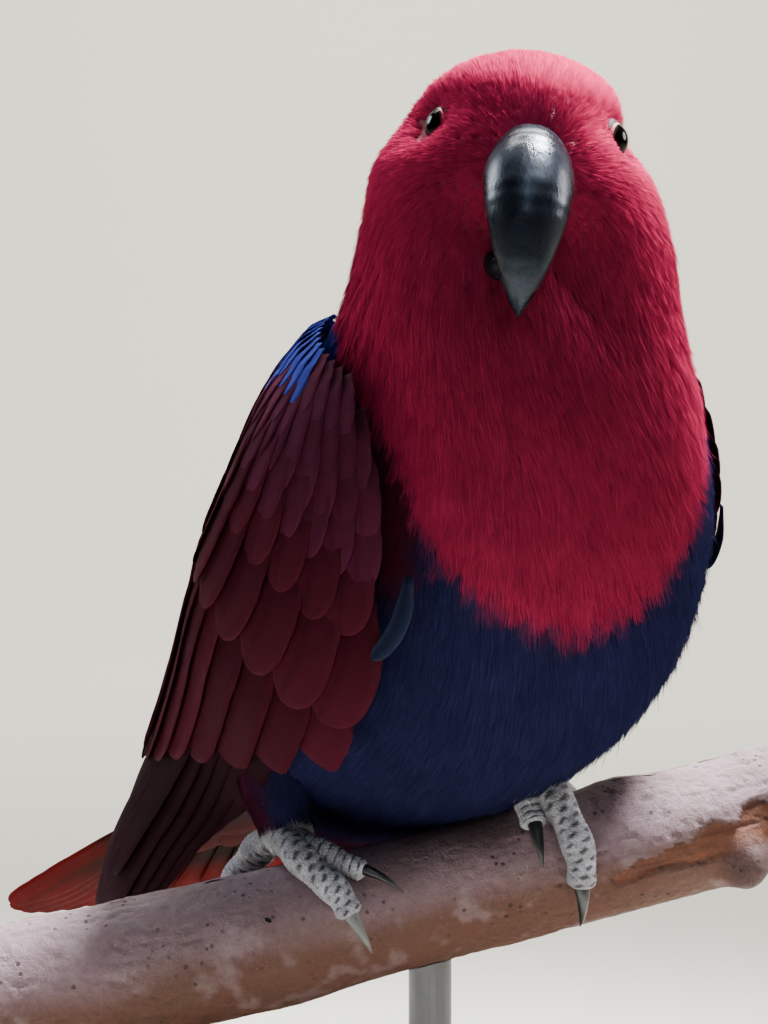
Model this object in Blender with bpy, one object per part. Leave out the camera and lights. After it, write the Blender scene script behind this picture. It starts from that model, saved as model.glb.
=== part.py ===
"""A life-size female eclectus parrot gripping a cut branch, on a plain display stand.

World axes: +X to the bird's left and the branch's high end, -Y towards the viewer, +Z up.
The origin is the centre of the underside of the stand's base. Lengths are in metres.
Body points are first written in the bird's own frame, as (forward, left, up) from the top
of the branch midway between the feet, and then turned and moved into the world.
"""

import math

import bmesh
import bpy
import numpy as np
from mathutils import Matrix, Vector

MM = 0.001

# Driving sizes of the bird and of what holds it
BIRD_TURN = 32.0  # degrees that the body is turned from the viewer to its left
PERCH_TOP = Vector((0.006, -0.020, 0.088))  # top of the branch midway between the feet
GAP = 0.3 * MM  # clearance between nodes that touch
PERCH_RADIUS = 15.1 * MM
PERCH_LEFT, PERCH_RIGHT = -0.114, 0.104
PERCH_TURN = 10.0  # degrees, the left end nearer the viewer
PERCH_RISE = 12.5  # degrees, up to the right
PERCH_SAG = 0.15  # rise in metres for each square metre along the branch
PERCH_TAPER = 0.0075  # loss of radius for each metre along the branch
BASE_SIZE = (0.180, 0.150, 0.012)
BASE_CORNER = 0.030
ROD_RADIUS = 5.0 * MM

# The body's form: (forward, up, side, lean, turn, roll, half width, front depth, back depth),
# in millimetres and degrees. Side is to the left. Lean tips a ring's front down and back.
BODY_RINGS = (
    (37.0, 175.0, 2.2, 0, -33, 5, 0.7, 0.7, 0.7),
    (37.0, 172.5, 2.0, 0, -33, 5, 12.0, 11.5, 13.0),
    (37.5, 166.5, 1.4, 0, -33, 5, 19.3, 19.4, 22.5),
    (37.5, 157.0, 0.4, 0, -33, 5, 23.0, 23.5, 27.5),
    (37.0, 146.0, -0.4, 0, -33, 5, 30.2, 26.0, 31.5),
    (36.0, 134.0, -0.4, 2, -31, 5, 34.4, 29.0, 34.0),
    (33.5, 120.5, 0.6, 14, -25, 4, 37.6, 35.0, 35.0),
    (28.5, 104.5, 3.6, 28, -14, 3, 43.0, 45.5, 38.5),
    (19.0, 86.0, 6.2, 39, -5, 1, 50.6, 54.8, 40.5),
    (6.5, 67.5, 7.2, 46, 0, 0, 53.8, 57.0, 40.5),
    (-10.5, 50.0, 5.6, 51, 0, 0, 52.2, 53.0, 38.5),
    (-31.0, 34.0, 4.4, 56, 0, 0, 45.6, 43.0, 34.0),
    (-52.0, 20.5, 3.4, 60, 0, 0, 36.2, 33.0, 27.0),
    (-69.0, 11.0, 1.4, 63, 0, 0, 23.0, 19.0, 16.0),
    (-79.0, 6.0, 0.8, 65, 0, 0, 12.0, 9.5, 8.5),
)
# Where the coat swells or sinks on that form: (ring, angle, height in mm, spread in rings, in degrees)
BODY_SWELLS = (
    (3.2, 112.0, 6.3, 1.35, 34.0),  # behind the right eye, where the turned neck shows
    (3.1, 66.0, -1.5, 0.5, 20.0),  # round each eye
    (3.1, -66.0, -1.5, 0.5, 20.0),
    (5.3, 17.0, -4.6, 0.7, 13.0),  # beside the lower bill
    (5.3, -17.0, -4.6, 0.7, 13.0),
)
BODY_STEPS = 2  # rings built for each ring of the table
BODY_SIDES = 32

# The folded wings' form, written as the body's, from the shoulder to the wing tips
WING_RINGS = (
    (28.5, 105.5, 2.0, 27, -11, 0, 46.0, 49.5, 42.0),
    (19.0, 86.5, 4.0, 39, -4, 0, 56.0, 62.0, 45.5),
    (5.5, 67.5, 5.0, 46, 0, 0, 60.5, 67.5, 46.5),
    (-12.0, 49.5, 4.5, 50, 0, 0, 59.5, 64.0, 45.0),
    (-32.5, 32.0, 3.2, 50, 0, 0, 52.5, 51.5, 40.0),
    (-53.5, 14.0, 1.8, 49, 0, 0, 46.5, 40.0, 34.5),
    (-72.5, -3.5, 0.8, 48, 0, 0, 44.0, 33.0, 29.0),
    (-89.5, -20.5, 0.0, 47, 0, 0, 42.0, 28.0, 23.0),
    (-104.0, -36.0, 0.0, 46, 0, 0, 38.0, 23.0, 18.0),
    (-117.0, -50.0, 0.0, 45, 0, 0, 34.0, 19.0, 14.0),
)

# The head's own frame, at eye level on the head's axis
HEAD_CENTRE = Vector((37.5, 0.2, 155.0)) * MM
HEAD_TURN, HEAD_ROLL = -33.0, 5.0
EYE_CENTRE = Vector((8.3, 17.0, 0.0)) * MM  # the left eyeball's
EYE_LOOK = 64.0  # degrees outwards from straight forward
EYE_RADIUS = 4.7 * MM

# The bill's upper half follows an arc in the head's plane of symmetry
BILL_ARC_CENTRE = Vector((17.5, 0.7, -22.5)) * MM
BILL_ARC_RADIUS = 23.0 * MM
BILL_START, BILL_END = 98.0, -56.0  # degrees above straight forward
BILL_HALF_WIDTH = 8.9 * MM
BILL_DEPTH = 17.5 * MM

# The tail's frame in the bird's own plane of symmetry
TAIL_ROOT = Vector((-74.0, 0.0, 9.0)) * MM
TAIL_DROP = 25.0  # degrees below level
TAIL_LENGTH = 109.0 * MM
TAIL_FEATHERS = 12
TAIL_SPREAD = 3.2  # degrees between neighbouring tail feathers
TAIL_STEP = 0.85 * MM  # by which each tail feather lies under the next one inward
TAIL_ROOT_SPACING = 1.7 * MM
TAIL_HALF_WIDTH = 10.5 * MM
TAIL_THICKNESS = 0.55 * MM
TAIL_DROOP = 4.0 * MM  # by which a feather's tip hangs below its root's line

MATERIALS = {
    "red_plumage": ((0.55, 0.01, 0.02), 0.85, 0.0),
    "blue_plumage": ((0.02, 0.03, 0.16), 0.85, 0.0),
    "maroon_plumage": ((0.14, 0.012, 0.025), 0.7, 0.0),
    "tail_plumage": ((0.45, 0.02, 0.01), 0.7, 0.0),
    "horn": ((0.02, 0.022, 0.028), 0.25, 0.0),
    "eye": ((0.012, 0.009, 0.008), 0.08, 0.0),
    "foot_skin": ((0.22, 0.20, 0.18), 0.7, 0.0),
    "bark": ((0.27, 0.16, 0.13), 0.8, 0.0),
    "stand_wood": ((0.10, 0.055, 0.03), 0.5, 0.0),
    "stand_metal": ((0.35, 0.35, 0.36), 0.35, 1.0),
}


def clear_scene():
    for obj in list(bpy.data.objects):
        bpy.data.objects.remove(obj)


def material(name):
    found = bpy.data.materials.get(name)
    if found:
        return found
    colour, roughness, metallic = MATERIALS[name]
    made = bpy.data.materials.new(name)
    made.use_nodes = True
    shader = made.node_tree.nodes["Principled BSDF"]
    shader.inputs["Base Color"].default_value = (*colour, 1.0)
    shader.inputs["Roughness"].default_value = roughness
    shader.inputs["Metallic"].default_value = metallic
    return made


# Frames


def frame_matrix(origin, forward, left, up):
    """The matrix that takes (forward, left, up) coordinates to the frame round it."""
    rows = Matrix((forward, left, up)).transposed().to_4x4()
    return Matrix.Translation(origin) @ rows


def bird_frame():
    turn = math.radians(BIRD_TURN)
    forward = Vector((math.sin(turn), -math.cos(turn), 0.0))
    left = Vector((math.cos(turn), math.sin(turn), 0.0))
    return frame_matrix(PERCH_TOP, forward, left, Vector((0, 0, 1)))


def head_frame():
    turn = Matrix.Rotation(math.radians(HEAD_TURN), 4, "Z")
    roll = Matrix.Rotation(-math.radians(HEAD_ROLL), 4, "X")
    return BIRD @ Matrix.Translation(HEAD_CENTRE) @ turn @ roll


def tail_frame():
    drop = math.radians(TAIL_DROP)
    back = Vector((-math.cos(drop), 0.0, -math.sin(drop)))
    left = Vector((0.0, 1.0, 0.0))
    return BIRD @ frame_matrix(TAIL_ROOT, back, left, left.cross(back))


BIRD = bird_frame()
HEAD = head_frame()
TAIL = tail_frame()


# Smooth forms through rings


def curve_value(rows, t):
    """A smooth curve through the rows, read at row number t."""
    rows = np.asarray(rows, float)
    last = len(rows) - 1
    i = min(max(int(math.floor(t)), 0), last - 1)
    x = t - i
    before = rows[i - 1] if i > 0 else 2 * rows[0] - rows[1]
    after = rows[i + 2] if i + 2 <= last else 2 * rows[last] - rows[last - 1]
    slope_in = (rows[i + 1] - before) / 2
    slope_out = (after - rows[i]) / 2
    step = rows[i + 1] - rows[i]
    return (
        rows[i]
        + x * slope_in
        + x * x * (3 * step - 2 * slope_in - slope_out)
        + x * x * x * (slope_in + slope_out - 2 * step)
    )


class Form:
    """A closed form through a table of rings, in the bird's own frame."""

    def __init__(self, rings, swells=()):
        self.rings = rings
        self.swells = swells
        self.last = len(rings) - 1

    def swell(self, t, angle):
        """How far the form rises above its rings at ring t and angle."""
        rise = 0.0
        for ring, round_, height, rings, degrees in self.swells:
            turn = ((angle - round_ + 180) % 360 - 180) / degrees
            rise += height * MM * math.exp(-(((t - ring) / rings) ** 2) - turn * turn)
        return rise

    def point(self, t, angle, lift=0.0):
        """The point at ring t and angle, in degrees: 0 below, 90 right, 180 back. Lift is outwards."""
        row = curve_value(self.rings, t)
        forward, up, side, lean, turn, roll, width, front, back = row
        lean, turn, roll = (math.radians(x) for x in (lean, turn, roll))
        lift += self.swell(t, angle)
        angle = math.radians(angle)
        width = width * MM + lift
        depth = (front if math.cos(angle) > 0 else back) * MM + lift
        below = Vector((math.cos(lean), 0.0, -math.sin(lean)))
        left = Vector((0.0, math.cos(roll), -math.sin(roll)))
        swing = Matrix.Rotation(turn, 3, "Z")
        across = swing @ left * (-width * math.sin(angle))
        down = swing @ below * (depth * math.cos(angle))
        return Vector((forward, side, up)) * MM + across + down

    def normal(self, t, angle):
        """The outward direction of the form at ring t and angle."""
        step_t, step_angle = 0.05, 1.0
        low, high = max(t - step_t, 0.0), min(t + step_t, self.last)
        along = self.point(high, angle) - self.point(low, angle)
        round_ = self.point(t, angle + step_angle) - self.point(t, angle - step_angle)
        return round_.cross(along).normalized()


BODY = Form(BODY_RINGS, BODY_SWELLS)
WING = Form(WING_RINGS)


# Meshes


def add_object(name, bm, slot):
    mesh = bpy.data.meshes.new(name)
    bm.to_mesh(mesh)
    bm.free()
    mesh.materials.append(material(slot))
    obj = bpy.data.objects.new(name, mesh)
    bpy.context.scene.collection.objects.link(obj)
    return obj


def loft(rings, name="piece", slot="bark"):
    """A closed mesh object through rings of points, with a fan over each end."""
    bm = bmesh.new()
    loops = [[bm.verts.new(p) for p in ring] for ring in rings]
    count = len(loops[0])
    for one, two in zip(loops, loops[1:]):
        for k in range(count):
            n = (k + 1) % count
            bm.faces.new((one[k], one[n], two[n], two[k]))
    for loop, turned in ((loops[0], True), (loops[-1], False)):
        cap = bm.faces.new(loop[::-1] if turned else loop)
        bmesh.ops.poke(bm, faces=[cap])
    bmesh.ops.recalc_face_normals(bm, faces=bm.faces)
    bmesh.ops.triangulate(bm, faces=bm.faces)
    return add_object(name, bm, slot)


def tube(path, radii, sides=10, flat=1.0, up=Vector((0, 0, 1)), grow=0.0):
    """A closed tube along the path. Flat is its height for a width of 1, grow its swelling all round."""
    path = list(path)
    path[0] = path[0] - (path[1] - path[0]).normalized() * grow
    path[-1] = path[-1] + (path[-1] - path[-2]).normalized() * grow
    rings = []
    for i, centre in enumerate(path):
        ahead = path[min(i + 1, len(path) - 1)] - path[max(i - 1, 0)]
        along = ahead.normalized()
        side = along.cross(up).normalized()
        top = side.cross(along)
        ring = []
        for k in range(sides):
            angle = 2 * math.pi * k / sides
            ring.append(
                centre
                + side * ((radii[i] + grow) * math.cos(angle))
                + top * ((radii[i] * flat + grow) * math.sin(angle))
            )
        rings.append(ring)
    return loft(rings)


def keep_largest(obj):
    """Leaves only the largest closed surface of the mesh."""
    bm = bmesh.new()
    bm.from_mesh(obj.data)
    left, groups = set(bm.verts), []
    while left:
        group, edge = set(), {left.pop()}
        while edge:
            group |= edge
            edge = {e.other_vert(v) for v in edge for e in v.link_edges} - group
        left -= group
        groups.append(group)
    sizes = [sum(f.calc_area() for f in {f for v in g for f in v.link_faces}) for g in groups]
    kept = groups[sizes.index(max(sizes))]
    bmesh.ops.delete(bm, geom=[v for v in bm.verts if v not in kept], context="VERTS")
    bm.to_mesh(obj.data)
    bm.free()


def apply_modifiers(obj):
    graph = bpy.context.evaluated_depsgraph_get()
    mesh = bpy.data.meshes.new_from_object(obj.evaluated_get(graph))
    obj.modifiers.clear()
    obj.data = mesh


def combine(obj, others, operation):
    """Joins the other objects to the first, or cuts them from it, and removes them."""
    group = bpy.data.collections.new("joined")
    for other in others:
        group.objects.link(other)
    boolean = obj.modifiers.new("boolean", "BOOLEAN")
    boolean.operation = operation
    boolean.operand_type = "COLLECTION"
    boolean.collection = group
    boolean.solver = "MANIFOLD"
    bpy.context.view_layer.update()
    apply_modifiers(obj)
    for other in others:
        bpy.data.objects.remove(other)
    bpy.data.collections.remove(group)
    keep_largest(obj)
    return obj


def join(name, pieces, slot):
    """One node made of overlapping closed pieces."""
    first = pieces[0]
    if len(pieces) > 1:
        combine(first, pieces[1:], "UNION")
    return finish(first, name, slot)


def cut(obj, cutters):
    return combine(obj, cutters, "DIFFERENCE")


def finish(obj, name, slot):
    obj.name = name
    obj.data.name = name
    obj.data.materials.clear()
    obj.data.materials.append(material(slot))
    obj.data.shade_smooth()
    obj.data.set_sharp_from_angle(angle=math.radians(35))
    return obj


def copy_of(obj):
    twin = obj.copy()
    twin.data = obj.data.copy()
    bpy.context.scene.collection.objects.link(twin)
    return twin


def moved(points, frame):
    return [frame @ p for p in points]


# The branch


def perch_axes():
    turn, rise = math.radians(PERCH_TURN), math.radians(PERCH_RISE)
    along = Vector((math.cos(rise) * math.cos(turn), math.cos(rise) * math.sin(turn), math.sin(rise)))
    front = Vector((math.sin(turn), -math.cos(turn), 0.0))
    return along, front, front.cross(along)


ALONG, FRONT, OVER = perch_axes()


def perch_centre(s):
    start = PERCH_TOP - OVER * PERCH_RADIUS
    return start + ALONG * s + Vector((0, 0, PERCH_SAG * s * s))


# Knots and swellings of the bark: (along, angle from the top to the front, height, spread)
PERCH_KNOTS = (
    (0.069, 124.0, 6.5 * MM, 6.0 * MM),
    (0.056, 114.0, 1.4 * MM, 13.0 * MM),
    (-0.094, 20.0, 0.9 * MM, 8.0 * MM),
    (0.045, -20.0, 1.2 * MM, 7.0 * MM),
    (-0.040, 200.0, 1.5 * MM, 15.0 * MM),
    (0.010, 250.0, 2.2 * MM, 10.0 * MM),
)


def perch_radius(s, angle):
    """The bark's radius s along the branch, at an angle in degrees from the top to the front."""
    radius = PERCH_RADIUS - PERCH_TAPER * s
    radius += 0.25 * MM * math.sin(math.radians(2 * angle) + s * 60)
    for place, round_, height, spread in PERCH_KNOTS:
        turn = math.radians((angle - round_ + 180) % 360 - 180) * radius
        distance = math.hypot(s - place, turn) / spread
        radius += height * math.exp(-distance * distance)
    return radius


def on_perch(s, angle, lift):
    """A point above the bark: s along the branch, angle from the top to the front."""
    turn = math.radians(angle)
    out = OVER * math.cos(turn) + FRONT * math.sin(turn)
    return perch_centre(s) + out * (perch_radius(s, angle) + lift)


def perch_form(grow=0.0, steps=26, sides=20):
    rings = []
    for i in range(steps + 1):
        s = PERCH_LEFT + (PERCH_RIGHT - PERCH_LEFT) * i / steps
        rings.append([on_perch(s, 360 * k / sides, grow) for k in range(sides)])
    return loft(rings)


# The stand


def make_stand():
    """A flat wooden base with rounded corners and one metal rod up to the branch."""
    width, depth, height = BASE_SIZE
    bm = bmesh.new()
    bmesh.ops.create_cube(bm, size=1.0)
    bmesh.ops.scale(bm, vec=BASE_SIZE, verts=bm.verts)
    bmesh.ops.translate(bm, vec=(0, 0, height / 2), verts=bm.verts)
    upright = [e for e in bm.edges if abs((e.verts[0].co - e.verts[1].co).z) > height / 2]
    bmesh.ops.bevel(
        bm, geom=upright, offset=BASE_CORNER, segments=6, affect="EDGES", profile=0.5, material=-1
    )
    top = max(bm.faces, key=lambda f: f.calc_center_median().z)
    bmesh.ops.bevel(
        bm, geom=list(top.edges), offset=2.5 * MM, segments=2, affect="EDGES", profile=0.5, material=-1
    )
    base = add_object("stand_base", bm, "stand_wood")
    finish(base, "stand_base", "stand_wood")

    bm = bmesh.new()
    foot = BASE_SIZE[2] + GAP
    reach = PERCH_TOP.z
    bmesh.ops.create_cone(
        bm, cap_ends=True, segments=24, radius1=ROD_RADIUS, radius2=ROD_RADIUS, depth=reach - foot
    )
    bmesh.ops.translate(bm, vec=(PERCH_TOP.x, PERCH_TOP.y, (reach + foot) / 2), verts=bm.verts)
    rod = add_object("stand_rod", bm, "stand_metal")
    cut(rod, [perch_form(grow=GAP)])
    keep_lowest(rod)
    finish(rod, "stand_rod", "stand_metal")


def keep_lowest(obj):
    """Leaves the closed surface that reaches lowest: a cut can leave one above the branch."""
    bm = bmesh.new()
    bm.from_mesh(obj.data)
    seed = min(bm.verts, key=lambda v: v.co.z)
    group, edge = set(), {seed}
    while edge:
        group |= edge
        edge = {e.other_vert(v) for v in edge for e in v.link_edges} - group
    bmesh.ops.delete(bm, geom=[v for v in bm.verts if v not in group], context="VERTS")
    bm.to_mesh(obj.data)
    bm.free()


# Feet


def spline(points, count):
    rows = np.array([tuple(p) for p in points])
    return [curve_value(rows, (len(rows) - 1) * i / (count - 1)) for i in range(count)]


TOE_STEPS = 8
TOE_SEAT = 0.45 * MM  # clearance under a toe that rests on the bark
# For each toe, in mm and degrees: (along the branch, angle from its top to the front, arch off
# the bark) from root to end, then the radii at the root and the end
FEET = {
    "right": {
        "inner_front": (((-32, 2, 2.2), (-28.5, 20, 1.8), (-23.5, 36, 0.4), (-18.5, 50, 0)), (3.9, 3.1)),
        "outer_front": (
            ((-34, 0, 2.0), (-32.5, 24, 1.4), (-29.5, 44, 0.2), (-26, 62, 0), (-24.5, 79, 0)),
            (4.4, 3.3),
        ),
        "outer_back": (
            ((-34.5, -4, 2.0), (-38, -20, 1.2), (-42, -38, 0.2), (-46, -56, 0), (-49, -72, 0)),
            (4.2, 3.1),
        ),
        "inner_back": (((-32, -6, 2.2), (-30, -26, 1.4), (-28, -44, 0.2), (-27, -58, 0)), (3.7, 3.0)),
    },
    "left": {
        "inner_front": (((24.5, 2, 2.2), (23, 20, 1.8), (22, 36, 0.4), (21.5, 49, 0)), (3.9, 3.1)),
        "outer_front": (
            ((26, 0, 2.0), (27.5, 26, 1.4), (29, 52, 0.2), (29.5, 77, 0), (28, 100, 0)),
            (4.4, 3.3),
        ),
        "outer_back": (
            ((26.5, -4, 2.0), (30, -22, 1.2), (34, -40, 0.2), (37, -58, 0), (39, -73, 0)),
            (4.2, 3.1),
        ),
        "inner_back": (((24.5, -6, 2.2), (22.5, -26, 1.4), (21, -44, 0.2), (20.5, -58, 0)), (3.7, 3.0)),
    },
}
ANKLES = {"right": (-32.5, -2.0), "left": (25.0, -2.0)}  # along in mm, angle
ANKLE_RADIUS = 5.6 * MM
ANKLE_HEIGHTS = (0.0, 3.0, 7.0, 12.0, 17.0)  # mm above the toes' roots
ANKLE_SHAPE = (0.85, 1.08, 1.0, 0.82, 0.74)  # shares of the radius at those heights
CLAW_LENGTHS = {"inner_front": 11.5, "outer_front": 11.0, "outer_back": 11.5, "inner_back": 9.0}
FOOT_ROOM = 0.9 * MM  # room left round the toes in the belly's feathers
CLAW_BEND = 62.0  # degrees through which a claw curls
CLAW_STEPS = 5
CLAW_RADIUS = 2.0 * MM  # at the root of a claw on a toe whose end has the radius below
CLAW_TOE_RADIUS = 3.2
CLAW_TIP = 0.14  # share of that radius left at the tip


def toe_line(points, ends, count=TOE_STEPS):
    """A toe's path along the bark and its radii, a little fuller between its joints."""
    path, radii = [], []
    for i, (s, angle, arch) in enumerate(spline(points, count)):
        x = i / (count - 1)
        radius = (ends[0] + (ends[1] - ends[0]) * x) * (1.0 + 0.06 * math.cos(6 * math.pi * x))
        path.append(on_perch(s * MM, angle, (arch + radius) * MM + TOE_SEAT))
        radii.append(radius * MM * (0.72 if i in (0, count - 1) else 1.0))
    return path, radii


def make_toe(points, ends, grow=0.0, count=TOE_STEPS):
    path, radii = toe_line(points, ends, count)
    return tube(path, radii, sides=8, flat=0.94, up=ALONG, grow=grow)


def make_ankle(side, grow=0.0):
    """The short bare shank, from the toes' roots up into the belly's feathers."""
    s, angle = ANKLES[side]
    low = on_perch(s * MM, angle, 3.6 * MM)
    rise = OVER * 0.9 - FRONT * 0.25
    path = [low + rise * (x * MM) for x in ANKLE_HEIGHTS]
    radii = [x * ANKLE_RADIUS for x in ANKLE_SHAPE]
    return tube(path, radii, sides=10, up=ALONG, grow=grow)


def make_claw(points, ends, length, grow=0.0):
    """A curved cone that leaves the toe's end and curls on towards the bark."""
    path, _ = toe_line(points, ends)
    start = path[-1]
    along = (path[-1] - path[-3]).normalized()
    s, angle, _ = points[-1]
    outward = (on_perch(s * MM, angle, 0.01) - on_perch(s * MM, angle, 0.0)).normalized()
    side = along.cross(outward).normalized()
    outward = side.cross(along)
    place = start - along * 1.2 * MM + outward * 0.7 * MM
    heading, route, radii = along + outward * 0.35, [], []
    heading.normalize()
    for i in range(CLAW_STEPS):
        x = i / (CLAW_STEPS - 1)
        route.append(place.copy())
        radii.append(CLAW_RADIUS * max((1 - x) ** 0.8, CLAW_TIP) * ends[1] / CLAW_TOE_RADIUS)
        turn = Matrix.Rotation(math.radians(-CLAW_BEND / (CLAW_STEPS - 1)), 3, side)
        heading = turn @ heading
        place = place + heading * (length * MM / (CLAW_STEPS - 1))
    return tube(route, radii, sides=6, flat=1.15, up=side, grow=grow)


def make_feet(bodies):
    """Shanks, toes and claws. Each is cut clear of the branch and of what it grows from."""
    cutters = []
    for side, toes in FEET.items():
        ankle = make_ankle(side)
        cut(ankle, [perch_form(grow=GAP)])
        finish(ankle, f"shank_{side}", "foot_skin")
        cutters.append(make_ankle(side, grow=GAP))
        done = []
        for name, (points, ends) in toes.items():
            toe = make_toe(points, ends)
            cut(toe, [make_ankle(side, grow=GAP)])
            for other in done:
                cut(toe, [copy_of(other)])
            finish(toe, f"toe_{side}_{name}", "foot_skin")
            done.append(make_toe(points, ends, grow=GAP))
            cutters.append(make_toe(points, ends, grow=FOOT_ROOM, count=5))
        for name, (points, ends) in toes.items():
            claw = make_claw(points, ends, CLAW_LENGTHS[name])
            cut(claw, [perch_form(grow=GAP)])
            for other in done:
                cut(claw, [copy_of(other)])
            finish(claw, f"claw_{side}_{name}", "horn")
            cutters.append(make_claw(points, ends, CLAW_LENGTHS[name], grow=GAP))
        for other in done:
            bpy.data.objects.remove(other)
    for body in bodies:
        cut(body, [copy_of(c) for c in cutters])
    for cutter in cutters:
        bpy.data.objects.remove(cutter)


# The head's hard parts


def bill_section(arc, depth, half_width, grow, sides=14):
    """One ring of the upper bill: arc in degrees, outer point on the culmen."""
    turn = math.radians(arc)
    out = Vector((math.cos(turn), 0.0, math.sin(turn)))
    outer = BILL_ARC_RADIUS + grow
    inner = BILL_ARC_RADIUS - depth - grow
    middle, half = (outer + inner) / 2, (outer - inner) / 2
    ring = []
    for k in range(sides):
        angle = 2 * math.pi * k / sides
        high = math.cos(angle)
        wide = math.copysign(abs(math.sin(angle)) ** 0.85, math.sin(angle))
        lateral = (half_width + grow) * wide * (1 - 0.16 * high)
        ring.append(BILL_ARC_CENTRE + out * (middle + half * high) + Vector((0, lateral, 0)))
    return moved(ring, HEAD)


def make_upper_bill(grow=0.0, steps=11):
    rings = []
    for i in range(steps + 1):
        x = i / steps
        arc = BILL_START + (BILL_END - BILL_START) * x
        depth = BILL_DEPTH * (1 - x**1.6) ** 0.75 + 1.0 * MM
        width = BILL_HALF_WIDTH * (0.80 + 0.75 * x - 0.55 * x * x) * (1 - x**2.6) ** 0.8
        rings.append(bill_section(arc, depth, width + 0.9 * MM, grow))
    return loft(rings)


def make_lower_bill(grow=0.0, steps=6, sides=12):
    """The short scoop of the lower bill, tucked behind the hook of the upper one."""
    rings = []
    for i in range(steps + 1):
        x = i / steps
        centre = Vector((11.0 + 18.5 * x, 0.0, -28.5 - 4.5 * x + 3.0 * x * x)) * MM
        wide = (8.2 - 1.3 * x * x) * MM * (1 - 0.5 * x**6) + grow
        tall = (7.0 - 3.0 * x) * MM * (1 - 0.5 * x**6) + grow
        ring = []
        for k in range(sides):
            angle = 2 * math.pi * k / sides
            ring.append(centre + Vector((0, wide * math.cos(angle), tall * math.sin(angle))))
        rings.append(moved(ring, HEAD))
    return loft(rings)


def eye_place(side):
    """Centre of the eyeball and the direction in which it looks, in the world."""
    sign = -1 if side == "right" else 1
    look = Vector((math.cos(math.radians(EYE_LOOK)), sign * math.sin(math.radians(EYE_LOOK)), 0.0))
    centre = Vector((EYE_CENTRE.x, sign * EYE_CENTRE.y, EYE_CENTRE.z))
    return HEAD @ centre, (HEAD.to_3x3() @ look).normalized()


def make_eyeball(side, grow=0.0):
    centre, look = eye_place(side)
    bm = bmesh.new()
    bmesh.ops.create_uvsphere(bm, u_segments=14, v_segments=8, radius=EYE_RADIUS + grow)
    bmesh.ops.triangulate(bm, faces=bm.faces)
    bmesh.ops.rotate(bm, verts=bm.verts, matrix=look.to_track_quat("Z", "Y").to_matrix())
    bmesh.ops.translate(bm, verts=bm.verts, vec=centre)
    return add_object("eye", bm, "eye")


NOSTRIL_RADIUS = 1.3 * MM
NOSTRIL_RING, NOSTRIL_ANGLE = 2.85, 12.5  # place on the body's form
DISH_RADIUS = 6.4 * MM  # the shallow hollow round the eye
DISH_SEAT = 2.5 * MM  # from the eyeball's centre, out to the hollow's deepest point
LID_RADIUS = 4.35 * MM
LID_THICKNESS = 1.0 * MM
LID_SEAT = 2.5 * MM  # from the eyeball's centre, out to the ring's


def make_nostril(side):
    """The cutter for the nostril, a small pit just above the bill's root."""
    bm = bmesh.new()
    bmesh.ops.create_icosphere(bm, subdivisions=1, radius=NOSTRIL_RADIUS)
    angle = NOSTRIL_ANGLE if side == "right" else -NOSTRIL_ANGLE
    bmesh.ops.translate(bm, verts=bm.verts, vec=BIRD @ BODY.point(NOSTRIL_RING, angle))
    return add_object("nostril", bm, "horn")


def make_dish(side):
    """The cutter for the shallow hollow in which the eye sits."""
    centre, look = eye_place(side)
    bm = bmesh.new()
    bmesh.ops.create_icosphere(bm, subdivisions=2, radius=DISH_RADIUS)
    bmesh.ops.translate(bm, verts=bm.verts, vec=centre + look * (DISH_SEAT + DISH_RADIUS))
    return add_object("dish", bm, "eye")


def make_lid(side, segments=16, sides=5):
    """The ring of bare skin round the eye."""
    centre, look = eye_place(side)
    seat = centre + look * LID_SEAT
    bm = bmesh.new()
    circle = bmesh.ops.create_circle(bm, segments=sides, radius=LID_THICKNESS)
    bmesh.ops.rotate(bm, verts=bm.verts, matrix=Matrix.Rotation(math.pi / 2, 3, "X"))
    bmesh.ops.translate(bm, verts=bm.verts, vec=(LID_RADIUS, 0, 0))
    edges = list({e for v in circle["verts"] for e in v.link_edges})
    bmesh.ops.spin(
        bm, geom=circle["verts"] + edges, cent=(0, 0, 0), axis=(0, 0, 1),
        angle=2 * math.pi, steps=segments, use_merge=True,
    )
    bmesh.ops.remove_doubles(bm, verts=bm.verts, dist=0.00001)
    bmesh.ops.recalc_face_normals(bm, faces=bm.faces)
    bmesh.ops.rotate(bm, verts=bm.verts, matrix=look.to_track_quat("Z", "Y").to_matrix())
    bmesh.ops.translate(bm, verts=bm.verts, vec=seat)
    return add_object("lid", bm, "foot_skin")


# The body


def body_form(grow=0.0, steps=BODY_STEPS, sides=BODY_SIDES):
    rings = []
    total = BODY.last * steps
    for i in range(total + 1):
        t = i / steps
        rings.append([BIRD @ BODY.point(t, 360 * k / sides, grow) for k in range(sides)])
    return loft(rings)


# Where the body is parted: name, ring of the form at its lower end, material
BODY_PARTS = (
    ("head", 5.1, "red_plumage"),
    ("neck", 7.3, "red_plumage"),
    ("breast", 9.1, "red_plumage"),
    ("belly", 11.4, "blue_plumage"),
    ("rump", 12.7, "maroon_plumage"),
    ("tail", None, "tail_plumage"),
)


def parting_plane(t):
    """A point on the cut at ring t and its direction towards the tail."""
    row = curve_value(BODY_RINGS, t)
    lean = math.radians(row[3])
    point = Vector((row[0], row[2], row[1])) * MM
    along = Vector((-math.sin(lean), 0.0, -math.cos(lean)))
    return BIRD @ point, BIRD.to_3x3() @ along


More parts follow.
